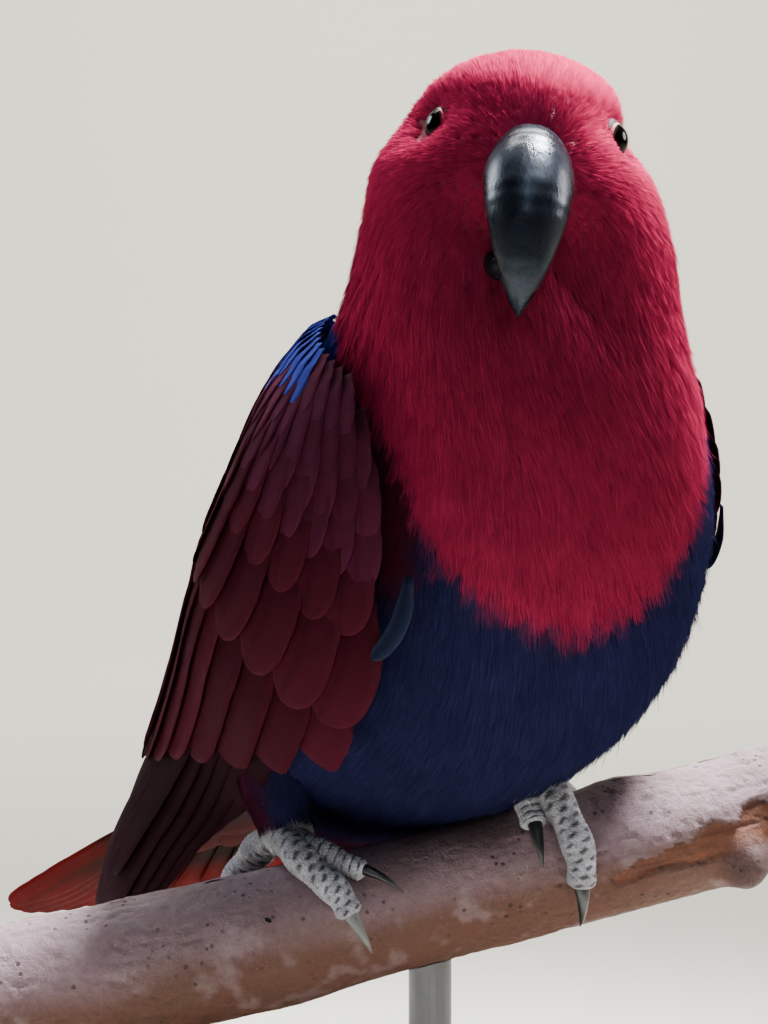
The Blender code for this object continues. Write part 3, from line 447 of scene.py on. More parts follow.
def vane_look():
    """Smooth firm feathers: fine barbs that slant from the shaft, and a soft sheen."""
    look = Look("vane")
    look.set("Specular IOR Level", 0.012)
    spot = look.map("Vane")
    across, along = look.part(spot, 0), look.part(spot, 1)
    slant = along + look.math("ABSOLUTE", across) * -0.75
    ripple = look.noise(3.0, 2.0, vector=spot)
    barbs = look.math("SINE", slant * 95.0 + ripple * 5.0)
    uneven = look.noise(260.0, 4.0) * 0.35 + 0.83
    shade = barbs * 0.10 + uneven
    look.set("Base Color", look.scaled(look.attribute("Tint"), shade))
    look.set("Roughness", look.noise(400.0, 2.0) * 0.2 + 0.55)
    look.bump(barbs * 0.5 + look.noise(1200.0, 2.0), 0.03 * MM)
    return look.material


def horn_look():
    """The bill: dark slate with a gloss, fine growth lines, dull patches and small scuffs."""
    look = Look("horn", coat_weight=0.10, coat_roughness=0.16)
    look.set("Specular IOR Level", 0.28)
    look.set("Specular Tint", BILL_GLOSS)
    cloudy = look.noise(140.0, 4.0)
    base = look.colours(look.ramp(cloudy, 0.35, 0.7), *HORN)
    scuffs = look.ramp(look.noise(900.0, 5.0, 0.7), 0.66, 0.78)
    long_ = look.noise(1.0, 4.0, 0.6, look.stretched((2600.0, 2600.0, 160.0)))
    scratch = look.ramp(long_, 0.66, 0.76)
    wear = look.math("MAXIMUM", scuffs * 0.35, scratch * 0.25)
    look.set("Base Color", look.colours(wear, base, WORN_HORN))
    look.set("Roughness", look.ramp(cloudy, 0.3, 0.75, 0.22, 0.34) + wear * 0.25)
    grain = look.noise(1.0, 5.0, 0.6, look.stretched((1400.0, 1400.0, 200.0)))
    look.bump(grain + look.noise(2500.0, 3.0) * 0.3, 0.10 * MM)
    return look.material


def claw_look():
    """The claws: black with a gloss and long faint lines, and paler where the tint says."""
    look = Look("claw", coat_weight=0.5, coat_roughness=0.2)
    grain = look.noise(1400.0, 4.0)
    look.set("Base Color", look.scaled(look.attribute("Tint"), grain * 0.8 + 0.6))
    look.set("Roughness", grain * 0.3 + 0.2)
    look.bump(grain, 0.08 * MM)
    return look.material


def eye_look():
    """A wet eye: black pupil, brown inner and pale outer iris with fine spokes."""
    look = Look("eye", roughness=0.12, coat_weight=0.08, coat_roughness=0.03)
    look.set("Specular IOR Level", 0.12)
    gaze = look.attribute("Gaze", "Fac")
    fibres = look.noise(1800.0, 4.0)
    inner = look.colours(look.ramp(gaze + fibres * 3.0, *PUPIL_EDGE), PUPIL, INNER_IRIS)
    pale = look.colours(fibres, *OUTER_IRIS)
    iris = look.colours(look.ramp(gaze + fibres * 2.0, *IRIS_EDGE), inner, pale)
    rim = look.colours(look.ramp(gaze, *RIM_EDGE), iris, EYE_RIM)
    look.set("Base Color", rim)
    look.bump(fibres, 0.02 * MM)
    return look.material


def bare_skin_look(name, low, high, bead_scale):
    """Bare scaly skin: small beads, creases darkened as painted shade, and paler tops."""
    look = Look(name, roughness=0.62)
    look.set("Specular IOR Level", 0.4)
    bead = look.cells(bead_scale)
    crease = look.cells(bead_scale, "DISTANCE_TO_EDGE")
    patch = look.noise(260.0, 4.0)
    base = look.colours(look.ramp(patch, 0.35, 0.65), low, high)
    # Painted shade: the creases between the beads are darkened
    dark = look.ramp(crease, 0.0, 0.12, 0.45, 1.0)
    tinted = look.colours(1.0, look.scaled(base, dark), look.attribute("Tint"), "MULTIPLY")
    look.set("Base Color", tinted)
    look.bump(look.ramp(bead, 0.0, 0.7, 1.0, 0.0) + patch * 0.4, 0.16 * MM)
    return look.material


def bark_look():
    """Smooth bark: mauve on top, brown below, dark lenticels, and bare wood where it is torn."""
    look = Look("bark", roughness=0.72)
    look.set("Specular IOR Level", 0.35)
    fine = look.noise(700.0, 5.0, 0.65)
    broad = look.noise(55.0, 4.0)
    base = look.scaled(look.attribute("Tint"), fine * 0.9 + 0.55)
    base = look.colours(look.ramp(broad, 0.45, 0.7) * 0.45, base, BARK_BROWN)
    specks = look.ramp(look.cells(420.0), 0.16, 0.26, 1.0, 0.0)
    chance = look.ramp(look.noise(120.0, 2.0), 0.5, 0.62)
    base = look.colours(specks * chance * 0.8, base, LENTICEL)
    pale = look.ramp(look.noise(1500.0, 3.0, 0.7), 0.6, 0.75) * 0.35
    base = look.colours(pale, base, BARK_SCUFF)
    look.set("Base Color", base)
    look.set("Roughness", fine * 0.3 + 0.5)
    look.bump(fine + look.noise(2200.0, 3.0) * 0.4 - specks * chance * 0.5, 0.35 * MM)
    return look.material


def stand_wood_look():
    """Oiled dark wood with long grain and pores."""
    look = Look("oiled_wood", coat_weight=0.15, coat_roughness=0.3)
    rings = look.noise(1.0, 4.0, 0.6, look.stretched((9.0, 110.0, 60.0)))
    pores = look.ramp(look.noise(1.0, 3.0, 0.6, look.stretched((60.0, 1500.0, 1500.0))), 0.6, 0.72)
    base = look.colours(look.ramp(rings, 0.3, 0.7), *OILED_WOOD)
    look.set("Base Color", look.colours(pores * 0.7, base, WOOD_PORE))
    look.set("Roughness", rings * 0.2 + 0.38)
    look.bump(rings * 0.4 - pores, 0.1 * MM)
    return look.material


def brushed_metal_look():
    look = Look("brushed_metal", metallic=1.0)
    lines = look.noise(1.0, 3.0, 0.6, look.stretched((300.0, 300.0, 9000.0)))
    smudge = look.noise(180.0, 3.0)
    look.set("Base Color", look.colours(smudge, *METAL))
    look.set("Roughness", lines * 0.2 + smudge * 0.15 + 0.2)
    look.bump(lines, 0.02 * MM)
    return look.material


def stage_look():
    """Plain pale paper."""
    look = Look("paper", roughness=0.9)
    speck = look.noise(400.0, 3.0)
    look.set("Base Color", look.colours(speck * 0.3, *PAPER))
    return look.material


# Mesh helpers


def link(mesh, material):
    mesh.materials.append(material)
    obj = bpy.data.objects.new(mesh.name, mesh)
    bpy.context.scene.collection.objects.link(obj)
    return obj


ATTRIBUTE_KEYS = {"FLOAT": "value", "FLOAT_VECTOR": "vector", "FLOAT_COLOR": "color"}


def paint(mesh, name, values, kind="FLOAT_COLOR"):
    """Stores a colour, a direction or a number for each vertex."""
    values = np.asarray(values, np.float32)
    if kind == "FLOAT_COLOR":
        values = np.concatenate([values, np.ones((len(values), 1), np.float32)], 1)
    stored = mesh.attributes.new(name, kind, "POINT")
    stored.data.foreach_set(ATTRIBUTE_KEYS[kind], values.ravel())


def positions(mesh):
    co = np.zeros(len(mesh.vertices) * 3, np.float32)
    mesh.vertices.foreach_get("co", co)
    return co.reshape(-1, 3).astype(float)


WELD = 1e-6  # vertices closer than this are one


def sheet(name, counts, place, material, tint=None, numbers=None):
    """A grid bent by place(u, v), u and v from 0 to 1, and welded where it meets itself."""
    bm = bmesh.new()
    bm.loops.layers.uv.new("OFBake")
    bmesh.ops.create_grid(bm, x_segments=counts[0], y_segments=counts[1], size=0.5, calc_uvs=True)
    mesh = bpy.data.meshes.new(name)
    bm.to_mesh(mesh)
    bm.free()
    flat = positions(mesh) + 0.5
    u, v = flat[:, 0], flat[:, 1]
    mesh.vertices.foreach_set("co", place(u, v).astype(np.float32).ravel())
    if tint is not None:
        paint(mesh, "Tint", tint(u, v))
    for key, values in (numbers or {}).items():
        paint(mesh, key, values(u, v), "FLOAT")
    bm = bmesh.new()
    bm.from_mesh(mesh)
    bmesh.ops.remove_doubles(bm, verts=bm.verts, dist=WELD)
    bmesh.ops.recalc_face_normals(bm, faces=bm.faces)
    bm.to_mesh(mesh)
    bm.free()
    mesh.shade_smooth()
    return link(mesh, material)


def joined(name, points, faces, tints, maps, material):
    """One mesh from arrays: rows of 3 or 4 numbers for the faces, and UV maps by vertex."""
    mesh = bpy.data.meshes.new(name)
    corners = np.concatenate([f.ravel() for f in faces])
    lengths = np.concatenate([np.full(len(f), f.shape[1]) for f in faces])
    starts = np.concatenate([[0], np.cumsum(lengths)[:-1]])
    mesh.vertices.add(len(points))
    mesh.vertices.foreach_set("co", points.astype(np.float32).ravel())
    mesh.loops.add(len(corners))
    mesh.loops.foreach_set("vertex_index", corners.astype(np.int32))
    mesh.polygons.add(len(lengths))
    mesh.polygons.foreach_set("loop_start", starts.astype(np.int32))
    mesh.update(calc_edges=True)
    paint(mesh, "Tint", tints)
    for key, spots in maps.items():
        layer = mesh.uv_layers.new(name=key)
        layer.uv.foreach_set("vector", spots[corners].astype(np.float32).ravel())
    mesh.shade_smooth()
    return link(mesh, material)


def tube(name, path, up, counts, radius, material, tint):
    """A closed tube along the path. Radius is a function of (share along, angle) in radians."""
    path = np.asarray(path, float)
    last = len(path) - 1

    def place(u, v):
        t = v * last
        step = 0.02
        ahead = curve(path, np.minimum(t + step, last)) - curve(path, np.maximum(t - step, 0))
        along = unit(ahead)
        side = unit(np.cross(along, np.asarray(up, float)))
        top = np.cross(side, along)
        angle = u * 2 * math.pi
        reach = radius(v, angle)[:, None]
        out = side * np.cos(angle)[:, None] + top * np.sin(angle)[:, None]
        return curve(path, t) + out * reach

    return sheet(name, counts, place, material, tint)


# The branch


def perch_axes():
    turn, rise = math.radians(PERCH_TURN), math.radians(PERCH_RISE)
    level = math.cos(rise)
    along = np.array((level * math.cos(turn), level * math.sin(turn), math.sin(rise)))
    front = np.array((math.sin(turn), -math.cos(turn), 0.0))
    return along, front, np.cross(front, along)


ALONG, FRONT, OVER = perch_axes()
# (along, angle from the top to the front, height, spread)
PERCH_KNOTS = (
    (0.069, 124.0, 6.5 * MM, 6.0 * MM),
    (0.056, 114.0, 1.4 * MM, 13.0 * MM),
    (-0.094, 20.0, 0.9 * MM, 8.0 * MM),
    (0.045, -20.0, 1.2 * MM, 7.0 * MM),
    (-0.040, 200.0, 1.5 * MM, 15.0 * MM),
    (0.010, 250.0, 2.2 * MM, 10.0 * MM),
)


def perch_centre(s):
    s = np.asarray(s, float)[..., None]
    return PERCH_TOP - OVER * PERCH_RADIUS + ALONG * s + np.array((0, 0, 1.0)) * PERCH_SAG * s * s


def perch_radius(s, angle):
    radius = PERCH_RADIUS - PERCH_TAPER * s
    radius = radius + 0.25 * MM * np.sin(np.radians(2 * angle) + s * 60)
    for place, round_, height, spread in PERCH_KNOTS:
        turn = np.radians((angle - round_ + 180) % 360 - 180) * radius
        distance = np.hypot(s - place, turn) / spread
        radius = radius + height * np.exp(-distance * distance)
    return radius


def on_perch(s, angle, lift):
    s, angle = np.broadcast_arrays(np.asarray(s, float), np.asarray(angle, float))
    turn = np.radians(angle)[..., None]
    out = OVER * np.cos(turn) + FRONT * np.sin(turn)
    return perch_centre(s) + out * (perch_radius(s, angle) + lift)[..., None]


def clear_of_perch(points, room):
    """The points, with those inside the branch or closer than room pushed out of it."""
    s = (points - perch_centre(0.0)) @ ALONG
    centre = perch_centre(s)
    out = points - centre
    out = out - ALONG * (out @ ALONG)[..., None]
    distance = np.linalg.norm(out, axis=-1)
    angle = np.degrees(np.arctan2(out @ FRONT, out @ OVER))
    wanted = perch_radius(s, angle) + room
    short = np.maximum(wanted - distance, 0.0)
    return points + unit(out) * short[..., None]


def noise_at(points, scale, octaves=4):
    """Fractal noise of about -1 to 1 at each point."""
    found = [noise.fractal(Vector(p) * scale, 1.0, 2.0, octaves) for p in points]
    return np.array(found)


# The torn streak's middle at its knot, slant and width, in degrees and degrees to a metre
TORN_MIDDLE, TORN_SLANT, TORN_WIDTH = 92.0, -420.0, 24.0
SCAR_PLACE = 0.0455  # along the branch
PERCH_END = 0.006  # the share of the mesh that closes each sawn end
TORN_DEPTH = 0.9 * MM
CRACK_DEPTH = 0.5 * MM


def peeled(s, angle, points):
    """1 where the bark is torn off and the bare wood shows."""
    ragged = noise_at(points, 160.0, 4) * 0.35
    middle = TORN_MIDDLE + TORN_SLANT * (s - 0.07)
    width = TORN_WIDTH * smooth(0.02, 0.075, s) + 4
    streak = smooth(0.0, 1.0, 1 - np.abs((angle - middle) / width) + ragged)
    ends = smooth(0.028, 0.046, s + ragged * 0.02)
    return smooth(0.35, 0.5, streak * ends)


def make_perch(material):
    """The branch: bark with swellings, cracks and lenticels, torn to the wood on the right."""

    def spots(u, v):
        share = np.clip((v - PERCH_END) / (1 - 2 * PERCH_END), 0, 1)
        return PERCH_LEFT + (PERCH_RIGHT - PERCH_LEFT) * share, u * 360

    def place(u, v):
        s, angle = spots(u, v)
        share = np.clip(np.minimum(v, 1 - v) / PERCH_END, 0, 1)
        outer = on_perch(s, angle, 0.0)
        rough = noise_at(outer, 90.0, 5) * 0.22 + noise_at(outer, 420.0, 4) * 0.16
        torn = peeled(s, angle, outer)
        lift = rough * MM * (1 - 0.5 * torn) - torn * TORN_DEPTH
        crack = noise_at(np.stack([s * 40, angle * 0.07, s * 0], -1), 1.0, 4)
        cracked = smooth(0.78, 1.0, 1 - np.abs(crack) * 3) * smooth(0.0, 0.05, np.abs(s + 0.02))
        lift = lift - CRACK_DEPTH * cracked
        centre = perch_centre(s)
        return centre + (on_perch(s, angle, lift) - centre) * share[:, None]

    def tint(u, v):
        s, angle = spots(u, v)
        points = on_perch(s, angle, 0.0)
        under = smooth(60, 115, np.minimum(angle, 360 - angle))
        slow = noise_at(points, 45.0, 3) * 0.5 + 0.5
        colour = mix(BARK_TOP, BARK_UNDER, smooth(0.0, 1.0, under + slow * 0.4 - 0.2))
        colour = mix(colour, BARK_BLOOM, 0.4 * smooth(0.2, 0.7, noise_at(points, 130.0, 4)))
        torn = peeled(s, angle, points)
        grain = noise_at(np.stack([s * 60, angle * 0.5, s * 0], -1), 1.0, 4) * 0.5 + 0.5
        wood = mix(*TORN_WOOD, grain**1.4)
        colour = mix(colour, wood, torn)
        rim = np.exp(-(((torn - 0.5) / 0.42) ** 2)) * 0.9
        colour = mix(colour, TORN_EDGE, rim)
        knot_s, knot_angle = PERCH_KNOTS[0][:2]
        knot = np.hypot(s - knot_s, np.radians(angle - knot_angle) * PERCH_RADIUS)
        colour = mix(colour, KNOT_SHADE, 0.85 * smooth(9.0, 3.5, knot / MM))
        beside = s - SCAR_PLACE
        scar = np.hypot(beside / 3.6, (angle + 6 + 900 * beside) * 0.00012) / MM
        colour = mix(colour, SCAR_SHADE, smooth(1.0, 0.5, scar))
        end = smooth(0.5, 1.0, 1 - np.minimum(v, 1 - v) / PERCH_END)
        return mix(colour, SAWN_END, end)

    return sheet("perch_bark", (150, 330), place, material, tint)


# Feet

# For each toe: (along the branch, angle, arch) from root to end in mm and degrees, end radii
FEET = {
    "right": {
        "inner_front": (((-32, 2, 2.2), (-28.5, 20, 1.8), (-23.5, 36, 0.4), (-18.5, 50, 0)), (3.2, 2.4)),
        "outer_front": (
            ((-34, 0, 2.0), (-32.5, 24, 1.4), (-29.5, 44, 0.2), (-26, 62, 0), (-24.5, 79, 0)),
            (3.9, 3.0),
        ),
        "outer_back": (
            ((-34.5, -4, 2.0), (-38, -20, 1.2), (-42, -38, 0.2), (-46, -56, 0), (-49, -72, 0)),
            (4.2, 3.1),
        ),
        "inner_back": (((-32, -6, 2.2), (-30, -26, 1.4), (-28, -44, 0.2), (-27, -58, 0)), (3.7, 3.0)),
    },
    "left": {
        "inner_front": (((24.5, 2, 2.2), (23, 20, 1.8), (22, 36, 0.4), (21.5, 49, 0)), (3.9, 3.1)),
        "outer_front": (
            ((26, 0, 2.0), (27.5, 26, 1.4), (29, 52, 0.2), (29.5, 77, 0), (28, 100, 0)),
            (4.4, 3.3),
        ),
        "outer_back": (
            ((26.5, -4, 2.0), (30, -22, 1.2), (34, -40, 0.2), (37, -58, 0), (39, -73, 0)),
            (4.2, 3.1),
        ),
        "inner_back": (((24.5, -6, 2.2), (22.5, -26, 1.4), (21, -44, 0.2), (20.5, -58, 0)), (3.7, 3.0)),
    },
}
ANKLES = {"right": (-32.5, -2.0), "left": (25.0, -2.0)}
ANKLE_RADIUS = 5.6 * MM
CLAW_LENGTHS = {"inner_front": 11.5, "outer_front": 11.0, "outer_back": 11.5, "inner_back": 9.0}
TOE_SEAT = 0.45 * MM


def toe_path(points, ends, count=14):
    rows = curve(np.array(points, float), np.linspace(0, len(points) - 1, count))
    share = np.linspace(0, 1, count)
    radius = ends[0] + (ends[1] - ends[0]) * share
    return on_perch(rows[:, 0] * MM, rows[:, 1], (rows[:, 2] + radius) * MM + TOE_SEAT)


def round_end(v, length, radius):
    """The share of its radius that a tube keeps near its rounded ends."""
    near = np.minimum(v, 1 - v) * length / radius
    return np.sqrt(np.clip(1 - (1 - np.clip(near, 0, 1)) ** 2, 0, 1))


def make_toe(name, points, ends, material):
    """A toe with a row of scutes on top, beads at its sides and pads below."""
    path = toe_path(points, ends)
    length = np.linalg.norm(np.diff(path, axis=0), axis=1).sum()
    scutes = round(length / (1.95 * MM))
    pads = max(len(points) - 2, 2)
    broken = 0.55 if "outer" in name else 0.22

    def scute_wave(v, angle):
        """1 on top of the toe and 0 below, and the rise and fall from scute to scute."""
        top = smooth(0.25, 0.75, np.cos(angle))
        return top, np.abs(np.sin(math.pi * scutes * v + 0.5 * np.sin(angle)))

    def radius(v, angle):
        base = (ends[0] + (ends[1] - ends[0]) * v) * MM
        base = base * (1 + 0.07 * np.cos(2 * math.pi * pads * v))
        top, wave = scute_wave(v, angle)
        scute = top * (wave**0.5 - 0.6) * 0.30
        bead = np.abs(np.sin(math.pi * scutes * 1.6 * v)) * np.abs(np.sin(angle * 7))
        beads = (1 - top) * (bead - 0.4) * 0.26
        return (base + (scute + beads) * MM) * round_end(v, length, base * 0.8)

    def tint(u, v):
        angle = u * 2 * math.pi
        top, wave = scute_wave(v, angle)
        gap = smooth(0.06, 0.5, wave + broken * np.sin(angle * 6 + v * 41))
        dark = mix(SCUTE_BAR, (1.0, 1.0, 1.0), np.maximum(gap, 0.9 * (1 - top)))
        return dark * (0.62 + 0.5 * smooth(0.1, 0.75, v))[:, None]

    return tube(name, path, ALONG, (36, 110), radius, material, tint)


def make_shank(name, side, material):
    s, angle = ANKLES[side]
    low = on_perch(s * MM, angle, 3.6 * MM)
    rise = OVER * 0.9 - FRONT * 0.25
    path = np.array([low + rise * (x * MM) for x in (-1.5, 0.0, 3.0, 7.0, 12.0, 17.0)])
    shape = np.array([(0.85,), (0.9,), (1.08,), (1.0,), (0.82,), (0.74,)])

    def radius(v, angle):
        base = curve(shape, v * 5)[:, 0] * ANKLE_RADIUS
        beads = np.abs(np.sin(math.pi * 12 * v)) * np.abs(np.sin(angle * 8)) - 0.4
        return (base + beads * 0.3 * MM) * round_end(v, 18.5 * MM, base)

    def tint(u, v):
        return np.full((len(u), 3), 0.9)

    return tube(name, path, ALONG, (48, 60), radius, material, tint)


CLAW_BEND = 62.0
CLAW_RADIUS = 2.0 * MM
CLAW_TIP = 0.10
PALE_CLAWS = {"nail_right_outer_front": 0.16}


def make_claw(name, points, ends, length, material):
    """A curved cone, grooved below, that leaves the toe's end and curls on towards the bark."""
    path = toe_path(points, ends, 8)
    along = unit(path[-1] - path[-3])
    s, angle, _ = points[-1]
    outward = unit(on_perch(s * MM, angle, 0.01) - on_perch(s * MM, angle, 0.0))
    side = unit(np.cross(along, outward))
    outward = np.cross(side, along)
    steps = 14
    place = path[-1] - along * 1.8 * MM + outward * 0.7 * MM
    heading = unit(along + outward * 0.35)
    route = []
    for _ in range(steps):
        route.append(place)
        turn = np.array(Matrix.Rotation(math.radians(-CLAW_BEND / (steps - 1)), 3, Vector(side)))
        heading = turn @ heading
        place = place + heading * ((length + 0.6) * MM / (steps - 1))

    def radius(v, angle):
        share = np.maximum((1 - v) ** 0.8, CLAW_TIP) * ends[1] / 3.2
        groove = 1 - 0.08 * smooth(0.6, 1.0, np.cos(angle - math.pi))
        return CLAW_RADIUS * share * groove * round_end(v, length * MM, CLAW_RADIUS * 0.25)

    shade = PALE_CLAWS.get(name, 0.010)

    def tint(u, v):
        return mix((shade * 1.6,) * 3, (shade,) * 3, smooth(0.0, 0.3, v))

    return tube(name, np.array(route), side, (20, 36), radius, material, tint)


def make_feet(skin, claw):
    for side, toes in FEET.items():
        shank = make_shank(f"shank_{side}_scaled", side, skin)
        done(shank, "foot_skin", f"shank_{side}")
        for key, (points, ends) in toes.items():
            toe = make_toe(f"toe_{side}_{key}_scaled", points, ends, skin)
            done(toe, "foot_skin", f"toe_{side}_{key}")
            nail = make_claw(f"nail_{side}_{key}", points, ends, CLAW_LENGTHS[key], claw)
            done(nail, "horn", f"claw_{side}_{key}")


def done(obj, slot, *nodes):
    """Ties a finished piece to the part's root body and hides the nodes it stands for. The slot is not
    used.
    """
    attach(obj, "root")
    if nodes:
        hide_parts(*nodes)
    return obj


# The skin


def coat_depth(t, angle):
    """How far the coat stands off the skin, in metres: least on the face."""
    face = smooth(0.9, 0.2, np.abs(angle) / 90) * smooth(5.8, 4.6, t)
    deep = 2.0 + 1.6 * smooth(5.0, 8.0, t)
    deep = deep - 0.9 * face
    return deep * MM


def centred(angle):
    return (np.asarray(angle, float) + 180) % 360 - 180


def under_wing(t, angle):
    """1 where the folded wings cover the body."""
    side = np.abs(centred(angle))
    edges = np.array(WING_EDGES, float)
    ring = t - WING_START
    front = np.interp(ring, edges[:, 0], edges[:, 1]) + np.where(centred(angle) < 0, 24.0, 0.0)
    back = np.interp(ring, edges[:, 0], edges[:, 2])
    inside = smooth(0, 12, side - front - 8) * smooth(0, 8, back - 8 - side)
    return inside * smooth(0.25, 0.7, ring) * smooth(5.2, 4.4, ring)


def skin_point(t, angle):
    depth = coat_depth(t, centred(angle))[..., None]
    return BODY.point(t, angle) - BODY.normal(t, angle) * depth


WINGED_DEPTH = 4.2 * MM  # the skin lies this far under the folded wings


def make_skin(material):
    """One skin from crown to tail, filled out where the folded wings lie."""

    def spots(u, v):
        return v * BODY.last, u * 360 - 180

    def place(u, v):
        t, angle = spots(u, v)
        bare = skin_point(t, angle)
        winged = WING.point(np.clip(t - WING_START, 0, WING.last), angle, -WINGED_DEPTH)
        made = mix_points(bare, winged, under_wing(t, angle))
        ends = np.minimum(v, 1 - v) < 1e-6
        pole = np.where((v < 0.5)[:, None], made[v < 1e-6].mean(0), made[v > 1 - 1e-6].mean(0))
        made = np.where(ends[:, None], pole, made)
        return clear_of_perch(made, 0.2 * MM)

    def tint(u, v):
        t, angle = spots(u, v)
        # Painted shade: the skin under the coat is darker than the markings over it
        return mix_points(marking(t, angle), np.array(MAROON)[None], under_wing(t, angle)) * 0.8

    return sheet("skin", (150, 220), place, material, tint)


def mix_points(one, two, share):
    return one + (two - one) * share[:, None]


# The coat of small feathers

STRAND_STOPS = np.array((0.0, 0.40, 0.74, 1.0))
STRAND_WIDTHS = np.array((0.75, 1.0, 0.75))
# For the two vertices at each stop and the tip: painted shade, darkest at the root under the other
# strands and lighter towards the tip, and the place in the bake's patch
STRAND_PAINTED_SHADE = np.array((0.70, 0.70, 0.9, 0.9, 1.04, 1.04, 1.15))
PATCH_ACROSS = np.array((-1, 1, -1, 1, -1, 1, 0)) * 0.0005
PATCH_ALONG = np.array((0, 0, 1.1, 1.1, 2.2, 2.2, 3.0)) * 0.001
PATCH_SPREAD = 0.001


def sow(rings, angles, cell, draw, chance):
    """Roots spread evenly over the body, one for each cell of that area in square metres."""
    t = np.arange(rings[0], rings[1], 1 / 40) + 1 / 80
    a = np.arange(angles[0], angles[1], 0.4) + 0.2
    T, A = np.meshgrid(t, a, indexing="ij")
    round_ = BODY.point(T, A + 0.2) - BODY.point(T, A - 0.2)
    area = np.linalg.norm(np.cross(round_, BODY.along(T, A) / 40), axis=-1)
    area = area * chance(T, A)
    filled = np.cumsum(area.ravel()) / cell + draw.random()
    start = np.floor(np.concatenate([[filled[0] - area[0, 0] / cell], filled[:-1]]))
    chosen = np.floor(filled) > start
    T, A = T.ravel()[chosen], A.ravel()[chosen]
    T = T + draw.uniform(-0.5, 0.5, len(T)) / 40
    A = A + draw.uniform(-1.0, 1.0, len(A))
    return T, A


def lie_of_coat(t, angle):
    """The way the feathers point: away from the bill on the face, and tailwards elsewhere."""
    point, normal = skin_point(t, angle), BODY.normal(t, angle)
    bill = apply(HEAD, np.array((22.0, 0.5, -9.0)) * MM)
    away = point - bill
    away = unit(away - normal * (away * normal).sum(-1, keepdims=True))
    back = unit(BODY.along(t, angle))
    share = smooth(3.6, 6.0, t)
    side = np.abs(centred(angle))
    share = np.maximum(share, smooth(80, 150, side) * smooth(0.8, 2.5, t))
    return unit(mix_points(away, back, share))


def follow(points, directions, lengths, steps):
    """Paths over the skin from each root: arrays (root, step, 3) of places, ways and normals."""
    tree = SKIN_TREE
    places = np.zeros((len(points), steps, 3))
    ways, ups = np.zeros_like(places), np.zeros_like(places)
    for i, (p, d, length) in enumerate(zip(points, directions, lengths)):
        place, way = Vector(p), Vector(d)
        stride = length / (steps - 1)
        for k in range(steps):
            if k:
                place = place + way * stride
            near, up, _, _ = tree.find_nearest(place)
            place = near
            way = (way - up * way.dot(up)).normalized()
            places[i, k], ways[i, k], ups[i, k] = place, way, up
    return places, ways, ups


def skin_tree():
    """The bare body's skin, for the lie of the coat."""
    rows, columns = 150, 180
    t = np.linspace(0, BODY.last, rows)
    a = np.linspace(0, 360, columns, endpoint=False)
    T, A = np.meshgrid(t, a, indexing="ij")
    points = clear_of_perch(skin_point(T, A).reshape(-1, 3), 0.3 * MM)
    faces = []
    for i in range(rows - 1):
        for k in range(columns):
            n = (k + 1) % columns
            below, above = i * columns, (i + 1) * columns
            faces.append((below + k, below + n, above + n, above + k))
    tree = BVHTree.FromPolygons([Vector(p) for p in points], faces)
    _, up, _, _ = tree.find_nearest(Vector(BODY.point(5.0, 0.0)))
    if np.dot(up, BODY.normal(np.array(5.0), np.array(0.0))) < 0:
        tree = BVHTree.FromPolygons([Vector(p) for p in points], [f[::-1] for f in faces])
    return tree


def eye_place(side):
    sign = -1 if side == "right" else 1
    look = np.array((math.cos(math.radians(EYE_LOOK)), sign * math.sin(math.radians(EYE_LOOK)), 0.0))
    centre = apply(HEAD, EYE_CENTRE * (1, sign, 1))
    return centre, unit(HEAD[:3, :3] @ look)


EYE_OPENING = 4.65 * MM  # radius round the eye's line of sight that the coat leaves bare


def clear_of_eyes(points):
    for side in ("right", "left"):
        centre, look = eye_place(side)
        out = points - centre
        depth = out @ look
        flat = out - look * depth[..., None]
        distance = np.linalg.norm(flat, axis=-1)
        short = np.where(depth > 0, np.maximum(EYE_OPENING - distance, 0.0), 0.0)
        points = points + unit(flat) * (short * 0.9)[..., None]
    return points


def near_eye(points):
    near = np.zeros(len(points), bool)
    for side in ("right", "left"):
        centre, look = eye_place(side)
        out = points - centre
        flat = out - look * (out @ look)[..., None]
        near |= (np.linalg.norm(flat, axis=-1) < EYE_OPENING) & (out @ look > 0)
    return near


